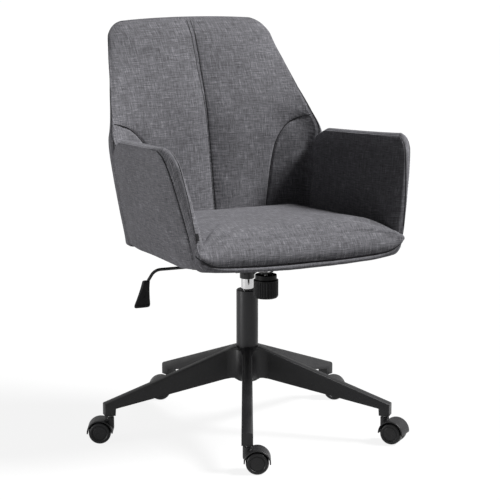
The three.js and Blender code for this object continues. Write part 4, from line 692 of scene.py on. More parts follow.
class Panel:
    """A padded form: a front sheet, a rear sheet and a sewn strip round its sides and top."""

    def __init__(self, near, far):
        self.near, self.far = near, far  # grids, bottom row first
        self.through = unit(near - far)

    def rim_line(self, grid):
        return np.concatenate([grid[:, 0], grid[-1, 1:], grid[-2::-1, -1]])

    def borders(self):
        return [self.rim_line(self.near), self.rim_line(self.far)]

    def roll(self, radius, foot):
        """Rounds both sheets back to the strip, over given lengths at the rim and foot."""
        for name in ("near", "far"):
            grid = getattr(self, name)
            gap = distances(grid, self.rim_line(grid))
            low = distances(grid, grid[0])
            self.push(name, -radius * rolled(gap / radius) - foot * rolled(low / foot))

    def push(self, name, amount):
        sign = 1 if name == "near" else -1
        setattr(self, name, getattr(self, name) + sign * self.through * amount[..., None])

    def build(self, name, bulge, pinch):
        """Joins the sheets by the strip, which bulges between two pinched seams."""
        cloth = Cloth()
        near_rim = self.rim_line(self.near)
        along = unit(np.gradient(near_rim, axis=0))
        out = unit(np.cross(along, self.rim_line(self.through)))
        inwards = self.near[self.near.shape[0] // 2, self.near.shape[1] // 2] - near_rim
        out *= -np.sign(np.sum(out * inwards, -1).sum())
        for grid in (self.near, self.far):
            moved = self.rim_line(grid) - out * pinch[..., None]
            rows, columns = grid.shape[:2]
            grid[:, 0] = moved[:rows]
            grid[-1] = moved[rows - 1 : rows + columns - 1]
            grid[:, -1] = moved[rows + columns - 2 :][::-1]
        near_rim, far_rim = self.borders()
        near, far = cloth.add_points(self.near), cloth.add_points(self.far)
        across = np.linspace(0, 1, STRIP_STEPS + 1)[:, None, None]
        swell = np.sin(np.pi * across) ** 0.75 * (bulge + pinch)[None, :, None] * out[None]
        strip = near_rim[None] * (1 - across) + far_rim[None] * across + swell
        inner = cloth.add_points(strip[1:-1])
        index = np.concatenate([self.rim_line(near)[None], inner, self.rim_line(far)[None]])
        foot = self.near[0][None] * (1 - across) + self.far[0][None] * across
        middle = cloth.add_points(foot[1:-1, 1:-1])
        inside = np.concatenate([index[1:-1, :1], middle, index[1:-1, -1:]], 1)
        foot_index = np.concatenate([near[:1], inside, far[:1]])
        cloth.patch(near, weave_of(self.near))
        cloth.patch(far[:, ::-1], weave_of(self.far)[:, ::-1])
        cloth.patch(index[::-1], weave_of(strip)[::-1] + WEAVE_SHIFT)
        cloth.patch(foot_index, weave_of(foot))
        return cloth.build(name)


def rolled(t):
    """Drop of a quarter-round edge, 1 at the edge and 0 from one radius inwards."""
    t = np.clip(t, 0, 1)
    return 1 - np.sqrt(np.maximum(0, 1 - (1 - t) ** 2))


def weave_of(grid):
    """Flat coordinates of a grid of points: lengths along its rows and columns."""
    u, v = arc_lengths(grid, 1), arc_lengths(grid, 0)
    middle = v.shape[1] // 2
    u = u - u[:, middle][:, None]
    return np.stack([u, np.repeat(v[:, middle][:, None], v.shape[1], 1)], -1)


# ---------------------------------------------------------------- upholstery
BACK_GRID = 2.6 * MM
ARM_GRID = 3.0 * MM
STITCH_PITCH = 5.2 * MM
STITCH_LENGTH = 3.6 * MM
STITCH_RADIUS = 0.55 * MM
# Place along a stitch and its thickness there, as shares.
STITCH_SPINDLE = ((-0.5, 0.25), (-0.36, 0.85), (0.0, 1.0), (0.36, 0.85), (0.5, 0.25))
SEAM_SHADE_RADIUS = 1.1 * MM
SEAM_PITCH = 3 * MM
CLOTH_VOXEL = 7 * MM
CLOTH_STEPS = 20
CLOTH_HOLD = 12 * MM  # reach of a seam's hold on the cloth


def seam_dent(gap, depth, narrow=2.6 * MM, wide=9 * MM):
    """How far cloth is drawn in near a seam: a narrow stitched line in a soft crease."""
    return depth * (0.62 * np.exp(-((gap / narrow) ** 2)) + 0.38 * np.exp(-gap / wide))


def pucker(points, gap, along, reach=16 * MM, height=0.55 * MM, pitch=9 * MM, seed=1):
    """Small pulls that run away from a seam."""
    wave = np.sin(along / pitch * 2 * math.pi + 2.5 * noise_at(points, 25.0, seed))
    return height * wave * np.exp(-gap / reach) * (0.5 + noise_at(points, 14.0, seed + 1))


def soft_waves(points, height, scale, seed):
    return height * (noise_at(points, scale, seed) + 0.5 * noise_at(points, scale * 2.3, seed + 3))


def puffed(gap, height, reach, power=1.4):
    return height * (1 - np.exp(-((gap / reach) ** power)))


def evenly(line, pitch):
    """A line's points again, evenly spaced."""
    run = run_of(line)
    return picked(line, run, np.linspace(0, run[-1], max(4, int(run[-1] / pitch))))


def sewn(name, forms, material):
    """A seam's cord of painted shade, or its thread, which rides on the seat with its cover."""
    piece = mesh_object(name, *merged(forms), material)
    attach(piece, "seat")


def stitches(name, seams, surface):
    """Sewing thread lying on a surface: one short spindle for each stitch."""
    forms = []
    sides = 6
    for knots in seams:
        line = through(knots, 400)
        run = run_of(line)
        at = np.arange(STITCH_PITCH, run[-1] - STITCH_PITCH, STITCH_PITCH)
        spots = picked(line, run, at) + ORIGIN
        found = [surface.find_nearest(Vector(p)) for p in spots]
        places = [(hit[0], hit[1]) for hit in found if hit[0] is not None]
        for i, (centre, normal) in enumerate(places):
            along = (places[min(i + 1, len(places) - 1)][0] - places[max(i - 1, 0)][0]).normalized()
            across = along.cross(normal).normalized()
            up = across.cross(along)
            points = []
            for share, wide in STITCH_SPINDLE:
                middle = centre + along * share * STITCH_LENGTH + up * 0.2 * MM
                middle = middle - up * abs(share) * 0.9 * MM
                for k in range(sides):
                    turn = 2 * math.pi * k / sides
                    ring = (across * math.cos(turn) + up * math.sin(turn)) * STITCH_RADIUS * wide
                    points.append(tuple(middle + ring))
            forms.append((points, tube_faces(len(STITCH_SPINDLE), sides)))
    sewn(name, forms, THREAD)


def seam_shade_cord(name, lines, surface, radius=SEAM_SHADE_RADIUS, sink=0.35):
    """A dark cord along the seams, half sunk in the cover: painted shade for the shadow in each
    seam's crease.
    """
    forms = []
    for line in lines:
        centres = []
        for point in evenly(np.asarray(line, float), SEAM_PITCH) + ORIGIN:
            spot, normal = surface.find_nearest(Vector(point))[:2]
            centres.append(np.array(spot - normal * radius * sink))
        centres = np.array(centres)
        centres[1:-1] = (centres[:-2] + 2 * centres[1:-1] + centres[2:]) / 4
        forms.append(sweep(centres, radius, 8))
    sewn(name, forms, SEAM_SHADE)


def in_front(surface, x, z):
    """The line of given x and z laid on the side of a cover that faces the sitter."""
    starts = (AXIS + Vector((a, -1.0, b)) for a, b in zip(x, z))
    hits = (surface.ray_cast(start, Vector((0, 1, 0)))[0] for start in starts)
    return np.array([np.array(hit) - ORIGIN for hit in hits if hit is not None])


def upholstered(piece, fill, *nodes):
    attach(piece, "seat")
    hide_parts(*nodes)


def blown_up(piece, lines, cap):
    """Lets the cloth solver fill a cover out between its seams, then moves the fine mesh."""
    trial = new_object("cloth_trial", piece.data.copy())
    grow = trial.modifiers.new("grow", "REMESH")
    grow.mode = "VOXEL"
    grow.voxel_size = CLOTH_VOXEL
    mesh = applied_mesh(trial)
    trial.modifiers.clear()
    trial.data = mesh
    before = points_of(mesh)
    gap = distances(before - ORIGIN, np.concatenate([evenly(line, SEAM_PITCH) for line in lines]))
    held = trial.vertex_groups.new(name="held")
    for number, weight in enumerate(np.exp(-((gap / CLOTH_HOLD) ** 2))):
        held.add([number], float(weight), "REPLACE")
    cloth = trial.modifiers.new("cloth", "CLOTH")
    settings = cloth.settings
    settings.quality = 4
    settings.mass = 0.35
    settings.tension_stiffness = settings.compression_stiffness = 22
    settings.shear_stiffness = 12
    settings.bending_stiffness = 2.5
    settings.vertex_group_mass = "held"
    settings.use_pressure = True
    settings.uniform_pressure_force = 4.0
    settings.effector_weights.gravity = 0
    cloth.collision_settings.use_collision = False
    cloth.point_cache.frame_start, cloth.point_cache.frame_end = 1, CLOTH_STEPS
    for step in range(1, CLOTH_STEPS + 1):
        bpy.context.scene.frame_set(step)
    moved = points_of(applied_mesh(trial)) - before
    size = np.linalg.norm(moved, axis=1, keepdims=True)
    moved *= cap * (1 - np.exp(-size / cap)) / np.maximum(size, 1e-9)
    bpy.context.scene.frame_set(1)
    bpy.data.objects.remove(trial)
    tree = tree_of(before)
    points = points_of(piece.data)
    for number, point in enumerate(points):
        near = tree.find_n(point, 6)
        weight = np.array([1 / (found[2] + 2 * MM) ** 2 for found in near])
        points[number] = point + weight @ moved[[found[1] for found in near]] / weight.sum()
    piece.data.vertices.foreach_set("co", points.ravel())
    piece.data.update()
    most = round(float(size.max()) / MM, 1)
    print("cloth", piece.name, len(before), "points, moved up to", most, "mm")


# The curved seam across each wing of the back, (x, z) from the side edge down to the cushion.
WING_SEAM = np.array(
    [
        *((252, 703), (228, 697), (203, 685), (182, 664), (165, 636)),
        *((152, 596), (141, 545), (132, 498), (127, 462)),
    ]
) * MM
CENTRE_SEAM_HALF = 4.5 * MM
CENTRE_FINE = 0.055  # share of the half width with a finer grid, for the centre seams
CENTRE_VALLEY, CENTRE_VALLEY_WIDTH = 16 * MM, 38 * MM
BACK_PUFF, PUFF_REACH = 8.0 * MM, 42 * MM
BACK_COVER_CORNER = 40 * MM
BACK_EDGE_ROLL, BACK_EDGE_REACH = 14 * MM, 46 * MM
BACK_EDGE_SPREAD = 6 * MM
REAR_CORNER_ROLL, REAR_CORNER_REACH = 14 * MM, 36 * MM
WING_SWELL, WING_SWELL_SIDE, WING_SWELL_TOP = 8 * MM, (95 * MM, 165 * MM), (730 * MM, 640 * MM)


def back_sides():
    """Sides from -1 to 1, closer together by the centre seam."""
    even = np.linspace(-1, 1, 2 * int(BACK_HALF_WIDTH * 1.25 / BACK_GRID) + 1)
    fine = np.linspace(-CENTRE_FINE, CENTRE_FINE, 41)
    edge = CENTRE_FINE + 0.004
    return np.concatenate([even[even < -edge], fine, even[even > edge]])


def with_corner(low, high, corner, count, pitch):
    """Values from low to high, a pitch apart and closer over a rounded corner at the top."""
    start = high - corner
    even = np.linspace(low, start, int((start - low) / pitch))
    return np.concatenate([even, start + corner * np.sin(np.linspace(0, math.pi / 2, count)[1:])])


def centre_spread(z):
    """Share of their widest gap that the two centre seams have at a height: widest high up."""
    return 1 - 0.65 * smooth_step(BACK_HIGH - 60 * MM, BACK_HIGH - 260 * MM, z)


def make_back():
    """The back's cover: two wings, a valley between two centre seams, and a border round it."""
    sides, levels = back_sides(), with_corner(BACK_LOW, BACK_HIGH, BACK_COVER_CORNER, 19, BACK_GRID)
    near, far = (
        np.array([back_row(z, sides, depth, BACK_COVER_CORNER) for z in levels])
        for depth in (0.0, 1.0)
    )
    panel = Panel(near, far)
    x, z = near[..., 0], near[..., 2]
    flat = np.stack([np.abs(x), np.zeros_like(x), z], -1)
    wing = through(np.stack([WING_SEAM[:, 0], WING_SEAM[:, 0] * 0, WING_SEAM[:, 1]], -1), 500)
    wing_gap = distances(flat, wing)
    rim_gap = distances(near, panel.rim_line(near))
    spread = smooth_step(BACK_HIGH, BACK_HIGH - 130 * MM, z)
    line_gap = np.abs(np.abs(x) - CENTRE_SEAM_HALF * centre_spread(z))
    push = puffed(np.minimum(wing_gap, rim_gap), BACK_PUFF, PUFF_REACH) - 0.4 * BACK_PUFF
    push = push + soft_waves(near, 1.3 * MM, 9.0, 3)
    push -= CENTRE_VALLEY * np.exp(-np.abs(x) / CENTRE_VALLEY_WIDTH) * (0.15 + 0.85 * spread)
    push -= seam_dent(line_gap, 1.4 * MM, 1.5 * MM, 4 * MM)
    push -= seam_dent(wing_gap, 4.4 * MM) * smooth_step(0, 45 * MM, rim_gap)
    push += pucker(near, line_gap, z, seed=11) + pucker(near, wing_gap, z + x, seed=12)
    push += pucker(near, rim_gap, z + np.abs(x), seed=13)
    high = smooth_step(ARM_TOP_REAR - 60 * MM, ARM_TOP_REAR + 20 * MM, z)
    push -= BACK_EDGE_ROLL * rolled(rim_gap / BACK_EDGE_REACH) * high
    swell = WING_SWELL * smooth_step(*WING_SWELL_SIDE, np.abs(x)) * smooth_step(*WING_SWELL_TOP, z)
    push += swell * smooth_step(0, 60 * MM, rim_gap)
    panel.push("near", push)
    widened = BACK_EDGE_SPREAD * np.sign(x) * smooth_step(BACK_EDGE_REACH, 0, rim_gap)
    panel.near[..., 0] += widened * high
    far_gap = distances(far, panel.rim_line(far))
    panel.push("far", puffed(far_gap, 2.5 * MM, PUFF_REACH, 2) + soft_waves(far, 1.2 * MM, 7.0, 5))
    corner = smooth_step(BACK_HIGH - 220 * MM, BACK_HIGH - 40 * MM, far[..., 2])
    corner *= smooth_step(110 * MM, 190 * MM, np.abs(far[..., 0]))
    panel.push("far", -REAR_CORNER_ROLL * rolled(far_gap / REAR_CORNER_REACH) * corner)
    free = smooth_step(ARM_TOP_REAR - 30 * MM, ARM_TOP_REAR + 12 * MM, panel.rim_line(near)[:, 2])
    panel.roll(5 * MM, 5 * MM)
    back = panel.build("upholstered_back", 1.2 * MM * free, 1.6 * MM * (0.3 + 0.7 * free))
    upholstered(back, 0.8, "back_pad", "back_cover")
    surface = surface_of(back)
    wings = [in_front(surface, side * wing[:, 0], wing[:, 2]) for side in (-1, 1)]
    heights = np.linspace(BACK_LOW + 30 * MM, BACK_HIGH - 6 * MM, 90)
    middle = in_front(surface, heights * 0, heights)
    blown_up(back, [*panel.borders(), *wings, middle, panel.near[0], panel.far[0]], 5 * MM)
    surface = surface_of(back)
    # Dark cords of painted shade, for the shadow in the seams' creases.
    seam_shade_cord("back_seams", [*panel.borders(), *wings], surface)
    half = CENTRE_SEAM_HALF * centre_spread(heights)
    lines = [in_front(surface, side * half, heights) for side in (-1, 1)]
    seam_shade_cord("back_centre_seam_shade", lines, surface, 0.6 * MM)
    outside = [line[::4] + np.array([side * 2.6 * MM, 0, 0]) for side, line in zip((-1, 1), lines)]
    stitches("back_stitching", outside, surface)


ARM_CORNER = 34 * MM
BORDER_BULGE = 4.5 * MM
BORDER_BACKSET = 20 * MM  # how far the outer edge of an arm's border lies behind the inner one
BORDER_DROP = 0.5 * MM
INNER_PUFF, INNER_REACH = 6.5 * MM, 26 * MM
OUTER_PUFF, OUTER_REACH = 6 * MM, 70 * MM
FOOT_LIFT = 16 * MM
REAR_DIP = 22 * MM


def inner_roll(z):
    """How far an arm's inner sheet turns out to its border at the front, most at the bottom."""
    return np.interp(z, [SEAT_LOW + 68 * MM, SEAT_LOW + 233 * MM], [19 * MM, 3 * MM])


def enlivened(shape, grid, rim_gap, seed):
    """The shape of an arm's sheet with soft waves and the pulls of its seams."""
    shape = shape + soft_waves(grid, 1.2 * MM, 9.0, seed)
    along = grid[..., 1] + grid[..., 2]
    return shape + pucker(grid, rim_gap, along, height=0.8 * MM, seed=seed + 1)


def make_arm(name, side, node, seed):
    """One arm: padded inner and outer sheets and a rounded border with a seam at each edge."""
    stations = np.linspace(0, 1, int((-ARM_FRONT + BACK_FOOT) / ARM_GRID))
    height = ARM_TOP_FRONT - ARM_LOW_FRONT
    start = 1 - ARM_CORNER / height
    even = np.linspace(0, start, int(height * start / ARM_GRID))
    turn = np.linspace(0, math.pi / 2, 15)[1:]
    levels = np.concatenate([even, start + (1 - start) * np.sin(turn)])
    grids = []
    for depth in (0.0, 1.0):
        rows = [[arm_point(s, v, depth, ARM_CORNER) for s in stations] for v in levels]
        grids.append(np.array(rows))
        grids[-1][..., 0] *= side
    panel = Panel(*grids)
    forward = 1 - smooth_step(0.6, 0.95, stations)[None]
    rise = levels[:, None]
    front, top, foot, rim = (
        {k: distances(g, line(g)) for k, g in (("near", panel.near), ("far", panel.far))}
        for line in (lambda g: g[:, 0], lambda g: g[-1], lambda g: g[0], panel.rim_line)
    )
    shape = puffed(rim["near"], INNER_PUFF, INNER_REACH) - 1.5 * MM
    shape -= forward * inner_roll(panel.near[..., 2]) * rolled(front["near"] / INNER_REACH)
    shape -= 4 * MM * rolled(top["near"] / (12 * MM)) + 6 * MM * rolled(foot["near"] / (6 * MM))
    panel.push("near", enlivened(shape, panel.near, rim["near"], seed))
    turned = rolled(front["far"] / OUTER_REACH)
    shape = OUTER_PUFF * (1 - turned) * smooth_step(1, 0.8, stations)[None]
    shape -= (8 - 6 * rise) * MM * turned
    shape -= 5 * MM * rolled(top["far"] / (16 * MM))
    shape -= (13 + 11 * forward) * MM * rolled(foot["far"] / ((14 + 12 * forward) * MM))
    panel.push("far", enlivened(shape, panel.far, rim["far"], seed + 4))
    panel.far[..., 1] += BORDER_BACKSET * (1 - stations[None]) ** 2
    panel.far[..., 2] -= BORDER_DROP * rise**4
    for grid, share in ((panel.near, 1.0), (panel.far, 0.75)):
        grid[..., 2] -= share * REAR_DIP * rise**3 * np.clip((stations[None] - 0.85) / 0.15, 0, 1)
        low = np.clip(1 - rise / 0.1, 0, 1) ** 2
        grid[..., 2] += FOOT_LIFT * smooth_step(0.055, 0, stations)[None] * low
    rim_stations = np.concatenate([np.zeros(len(levels)), stations[1:], np.ones(len(levels) - 1)])
    free = 1 - smooth_step(0.93, 0.99, rim_stations)
    arm = panel.build(name, BORDER_BULGE * free, 2.2 * MM * (0.2 + 0.8 * free))
    upholstered(arm, 0.85, node)
    blown_up(arm, [*panel.borders(), panel.near[0], panel.far[0]], 4 * MM)
    seen = slice(int(60 * MM / ARM_GRID), len(levels) + len(stations) - 8)
    seams = [line[seen] for line in panel.borders()]
    # A dark cord of painted shade in each border seam's crease.
    seam_shade_cord(name.replace("cover", "seams"), seams, surface_of(arm), 1.6 * MM)
    return panel.near[:, 0]


TAB_ENDS = (SEAT_LOW + 76 * MM, SEAT_LOW + 93 * MM)
TAB_REACH = 6.5 * MM
TAB_HALF = 0.6 * MM  # half the thickness of the doubled ribbon


def make_tab(line):
    """The small plain tab of folded ribbon sewn into the left arm's inner seam."""
    line = line[(line[:, 2] > TAB_ENDS[0]) & (line[:, 2] < TAB_ENDS[1])]
    out, across = unit(np.array([0.95, -0.3, 0.0])), unit(np.array([0.3, 0.95, 0.0]))
    turns = np.linspace(-math.pi / 2, math.pi / 2, 9)
    fold = [(TAB_REACH + TAB_HALF * math.cos(t), TAB_HALF * math.sin(t)) for t in turns]
    low, high = ((TAB_REACH / 2, side * TAB_HALF * 1.2) for side in (-1, 1))
    loop = [(-3 * MM, -TAB_HALF), low, *fold, high, (-3 * MM, TAB_HALF)]
    points, faces = tube([[p + a * out + b * across for a, b in loop] for p in line])
    part("sewn_tab", points / MM, faces, LINING, "seat", "lining")


SEAM_SWEEP = 20 * MM
CUSHION_FRONT = SEAT_FRONT - 6 * MM
CUSHION_SEAM_LOW = CUSHION_LOW - 2 * MM
CUSHION_SIDE_TOP = CUSHION_HIGH - CUSHION_ROUND
CORNER_HALF = 250 * MM  # half the width over which the cushion meets the arms' borders in front
CORNER_RADIUS = 4 * MM
CUSHION_MIDDLE = np.array([0.0, -55 * MM])
CUSHION_RINGS = 80
WALL_RINGS = 18
OUTLINE_COUNT = 211  # points on half of the cushion's outline
FRONT_REACH = 64 * MM  # over which the cushion rounds from its front seam to its top
FRONT_TURN = 0.95  # radians of that rounding taken by the wall rings
FRONT_TUCK = 0.55  # radians by which it turns under again down to the seam
WALL_SWELL = 3 * MM
CROWN_REACH = 70 * MM
LEVEL_REACH = 90 * MM  # over which the lower front corners rise to the cushion's height


def seam_height(x):
    """Height of the seam between the cushion and the front border, which sweeps up at its ends."""
    reach = np.abs(x) / MM
    sweep_up = np.clip((reach - 190) / 58, 0, None) ** 2.2
    return SEAT_LOW + RAIL_HEIGHT + 7 * MM * (reach / 200) ** 3 + SEAM_SWEEP * sweep_up


def tub_outline(z, count=56):
    """Plan outline of the room for the cushion at a height, from the front's middle round."""
    stations = np.linspace(0.0, 0.97, count)
    level = np.clip((z - arm_foot(stations)) / (arm_top(stations) - arm_foot(stations)), 0, 1)
    right = np.array([arm_point(s, v, 0.0) for s, v in zip(stations, level)])[:, :2]
    right[:, 0] += inner_roll(z) * rolled((right[:, 1] - ARM_FRONT) / INNER_REACH)
    right = right[right[:, 1] > CUSHION_FRONT + 7 * MM]
    rear = back_row(z, np.linspace(0.95, 0.0, count), 0.0)[:, :2]
    right[:, 0] = np.maximum(right[:, 0], CORNER_HALF - 0.6 * (right[:, 1] - ARM_FRONT))
    straight = right[0, 0] - CORNER_RADIUS
    turn = np.linspace(0, math.pi / 2, 7)
    rounded = [
        straight + CORNER_RADIUS * np.sin(turn),
        CUSHION_FRONT + CORNER_RADIUS * (1 - np.cos(turn)),
    ]
    front = [np.linspace(0, straight, 40)[:-1], np.full(39, CUSHION_FRONT)]
    half = np.vstack([np.stack(front, -1), np.stack(rounded, -1), right, rear])
    run = run_of(half)
    half = picked(half, run, np.linspace(0, run[-1], OUTLINE_COUNT))
    return np.vstack([half, half[1:-1][::-1] * np.array([-1, 1])])


def front_rise(share):
    """Height share of the front curve, which starts below level at its seam."""
    return (share + math.sin(FRONT_TUCK)) / (1 + math.sin(FRONT_TUCK))


def front_curve(outline):
    """Share of the front curve round an outline, its seam height, top height and reach."""
    forward = smooth_step(SEAT_FRONT + 60 * MM, SEAT_FRONT + 6 * MM, outline[:, 1])
    corner = forward * smooth_step(165 * MM, 246 * MM, np.abs(outline[:, 0]))
    seam = CUSHION_SEAM_LOW + (seam_height(outline[:, 0]) - 0.5 * MM - CUSHION_SEAM_LOW) * forward
    return forward, seam, CUSHION_HIGH - 17 * MM * corner, FRONT_REACH * (1 - 0.68 * corner)


def cushion_ring(z, inset, outline):
    """An outline drawn in towards the cushion's middle, with the seat's fall to the rear."""
    reach = np.linalg.norm(outline - CUSHION_MIDDLE, axis=1)
    plan = CUSHION_MIDDLE + (outline - CUSHION_MIDDLE) * (1 - inset / reach)[:, None]
    share = np.clip((z - CUSHION_LOW) / (CUSHION_HIGH - CUSHION_LOW), 0, None)
    back = np.clip((plan[:, 1] - SEAT_FRONT) / (2 * abs(SEAT_FRONT) * 0.86), 0, None)
    return np.column_stack([plan, z - CUSHION_FALL * share * back**1.5])


def make_cushion():
    """The crowned seat cushion; its front rounds down to the seam above the front border."""
    rings = []
    for t in np.linspace(0, 1, WALL_RINGS):
        level = CUSHION_SEAM_LOW + (CUSHION_SIDE_TOP - CUSHION_SEAM_LOW) * t
        outline = tub_outline(max(level, CUSHION_LOW))
        forward, seam, high, bend = front_curve(outline)
        turn = (FRONT_TURN + FRONT_TUCK) * t - FRONT_TUCK
        z = seam + (CUSHION_SIDE_TOP - seam) * t
        z += (seam + (high - seam) * front_rise(math.sin(turn)) - z) * forward
        swell = WALL_SWELL * math.sin(math.pi * min(1.0, t * 0.9 + 0.1)) - WALL_SWELL * (1 - t) ** 6
        inset = -swell * (1 - 0.4 * forward) + bend * (1 - math.cos(turn)) * forward
        rings.append(cushion_ring(z, inset, outline))
    top = tub_outline(CUSHION_SIDE_TOP)
    forward, seam, high, bend = front_curve(top)
    reach = np.linalg.norm(top - CUSHION_MIDDLE, axis=1)
    first = bend * (1 - math.cos(FRONT_TURN)) * forward
    for t in np.linspace(0, 1, CUSHION_RINGS)[1:-1] ** 1.25:
        inset = first + (reach - first) * t
        side = CUSHION_SIDE_TOP + CUSHION_ROUND * (1 - rolled(inset / CUSHION_ROUND))
        fore = seam + (high - seam) * front_rise(1 - rolled(inset / bend))
        fore = fore + (CUSHION_HIGH - high) * smooth_step(0, LEVEL_REACH, inset)
        crown = CUSHION_CROWN * (1 - np.exp(-((inset / CROWN_REACH) ** 1.5)))
        rings.append(cushion_ring(side + (fore - side) * forward + crown, inset, top))
    grid = np.array(rings)
    normal = unit(np.cross(np.gradient(grid, axis=1), np.gradient(grid, axis=0)))
    inner = grid[WALL_RINGS:]
    inner[..., 2] += soft_waves(inner, 1.6 * MM, 7.0, 41) + soft_waves(inner, 0.5 * MM, 28.0, 42)
    gap = distances(grid, grid[2])
    pulls = pucker(grid, gap, grid[..., 0], reach=14 * MM, height=0.6 * MM, pitch=11 * MM, seed=43)
    grid += normal * pulls[..., None]
    cloth = Cloth()
    closed = looped(grid)
    index = cloth.add_points(grid)
    weave = np.stack([closed[..., 0], closed[..., 1] + closed[..., 2]], -1)
    cloth.patch(looped(index), weave)
    cloth.fan(index[0])
    cloth.fan(index[-1])
    cushion = cloth.build("seat_cushion_cover")
    upholstered(cushion, 0.8, "seat_cushion")
    blown_up(cushion, [closed[0], closed[2]], 5 * MM)
    front = [i for i in range(-72, 73) if grid[1, i, 1] < SEAT_FRONT + 12 * MM]
    # A dark cord of painted shade in the front seam's crease.
    seam_shade_cord("cushion_front_seam_shade", [grid[1, front]], surface_of(cushion), 1.3 * MM, 0.1)


STRIP_HALF = 248 * MM
STRIP_CORNER = 24 * MM
STRIP_SWELL = 4.2 * MM


def make_front_strip():
    """The padded band under the cushion, which turns up at its ends into the arms' borders."""
    xs = STRIP_HALF * np.sin(np.linspace(-math.pi / 2, math.pi / 2, 221))
    level_front = np.full(len(xs), ARM_FRONT)
    inner = np.stack([xs, level_front, seam_height(xs)], -1)
    end_z = seam_height(np.array(STRIP_HALF))
    end_x = ARM_HALF_LOW + (ARM_HALF_HIGH - ARM_HALF_LOW) * (end_z - ARM_LOW_FRONT) / ARM_HEIGHT
    foot = np.linspace(-(ARM_HALF_LOW - STRIP_CORNER), ARM_HALF_LOW - STRIP_CORNER, 160)
    bottom = np.stack([foot, SEAT_LOW - 2 * MM + RAIL_RISE * (foot / ARM_HALF_LOW) ** 2], -1)
    turn = np.linspace(0, math.pi / 2, 14)[1:]
    corner = bottom[-1] + STRIP_CORNER * np.stack([np.sin(turn), 1 - np.cos(turn)], -1)
    side = np.array([[end_x - 11 * MM, end_z + 3 * MM]])
    outer = np.vstack([side * [-1, 1], corner[::-1] * [-1, 1], bottom, corner, side])
    run, share = run_of(outer), run_of(inner)
    outer = picked(outer, run / run[-1], share / share[-1])
    outer = np.stack([outer[:, 0], level_front, outer[:, 1]], -1)
    outer[:, 1] += 4 * MM + 16 * MM * smooth_step(150 * MM, 245 * MM, np.abs(xs))
    inner[:, 1] += 3 * MM * smooth_step(225 * MM, 247 * MM, np.abs(xs))
    across = outer - inner
    rows = []
    for t in np.linspace(0, 1, 15):
        swell = STRIP_SWELL * math.sin(math.pi * t) ** 0.7
        rows.append(inner + across * t - np.array([0, 1, 0]) * swell)
    for t in np.linspace(1, 0, 9):
        row = inner + across * t
        row[:, 1] = ARM_FRONT + RAIL_DEPTH
        rows.append(row)
    grid = np.array(rows)
    grid += soft_waves(grid, 0.5 * MM, 22.0, 51)[..., None] * np.array([0, 1, 1])
    cloth = Cloth()
    index = cloth.add_points(grid)
    cloth.patch(looped(index, 0), weave_of(looped(grid, 0)))
    cloth.fan(index[:, 0])
    cloth.fan(index[:, -1])
    upholstered(cloth.build("front_border_strip"), 0.7, "front_rail")


# ---------------------------------------------------------------- rigid parts, in millimetres
def rounded_outline(outline, radius, count=5):
    """An open profile with rounded corners; a corner may carry its radius as third value."""
    result = [np.array(outline[0][:2], float)]
    for before, corner, after in zip(outline, outline[1:], outline[2:]):
        limit = corner[2] if len(corner) > 2 else radius
        p, a, b = (np.array(q[:2], float) for q in (corner, before, after))
        da, db = np.linalg.norm(a - p), np.linalg.norm(b - p)
        size = min(limit, da * 0.48, db * 0.48)
        result.extend(bend_of(p, p + (a - p) / da * size, p + (b - p) / db * size, count))
    result.append(np.array(outline[-1][:2], float))
    return np.array(result)


def bend_of(corner, start, end, count):
    """Points of the curve that replaces a corner."""
    shares = np.linspace(0, 1, count)
    return [(1 - t) ** 2 * start + 2 * t * (1 - t) * corner + t**2 * end for t in shares]


def bent(corners, radius, count=14):
    """A path with rounded bends; a corner may carry its bend radius as fourth value."""
    corners = [np.array(c, float) for c in corners]
    path = [corners[0][:3]]
    for before, corner, after in zip(corners, corners[1:], corners[2:]):
        size = corner[3] if len(corner) > 3 else radius
        p = corner[:3]
        start, end = (p + unit(q[:3] - p) * size for q in (before, after))
        path.extend(bend_of(p, start, end, count))
    path.append(corners[-1][:3])
    return path


def lathe(outline, sides, ends="capped", wave=None):
    """Points about Z and faces of a turned part; wave(angle, radius, z) changes the radius."""
    turns = np.linspace(0, 2 * math.pi, sides, endpoint=False)
    radius, z = outline[:, 0][:, None], outline[:, 1][:, None]
    reach = radius + (wave(turns[None], radius, z) if wave else np.zeros((1, sides)))
    rings = [reach * np.cos(turns), reach * np.sin(turns), np.broadcast_to(z, reach.shape)]
    return tube(np.stack(rings, -1), ends)


def part(name, points_mm, faces, material, body, slot, *nodes):
    """A rigid piece that stands for its CAD nodes."""
    points = np.asarray(points_mm, float) * MM + ORIGIN
    finish_part(mesh_object(name, points, faces, material), body, slot, *nodes)


def finish_part(piece, body, slot, *nodes, limit=38.0):
    """Keeps edges sharper than the limit as edges and gives the piece its body and nodes; the slot
    is not used.
    """
    with edited(piece.data) as work:
        for edge in work.edges:
            flat = edge.calc_face_angle(0.0) < math.radians(limit)
            edge.smooth = len(edge.link_faces) == 2 and flat
        for face in work.faces:
            face.smooth = True
    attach(piece, body)
    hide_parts(*nodes)


def dressed(name, node, bevel, limit=30.0):
    """A copy of a CAD node with its points joined and its edges broken."""
    source = frame["nodes"][node]
    piece = new_object(name, source.data.copy())
    limit = math.radians(limit)
    with edited(piece.data) as work:
        bmesh.ops.remove_doubles(work, verts=work.verts, dist=0.01 * MM)
        every = {"verts": work.verts, "edges": work.edges}
        bmesh.ops.dissolve_limit(work, angle_limit=math.radians(1.0), **every)
        sharp = [e for e in work.edges if len(e.link_faces) == 2 and e.calc_face_angle(0.0) > limit]
        how = {"offset": bevel, "segments": 2, "profile": 0.5, "affect": "EDGES"}
        bmesh.ops.bevel(work, geom=sharp, clamp_overlap=True, **how)
        bmesh.ops.recalc_face_normals(work, faces=work.faces)
    slot = SLOTS[node]
    dress(piece.data, slot)
    finish_part(piece, source["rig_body"], slot, node)


SLOTS = {p["node"]: p["material_slot"] for p in frame["record"]["subparts"]}


def dress(mesh, slot):
    mesh.materials.clear()
    mesh.materials.append(MATERIAL_OF_SLOT[slot])


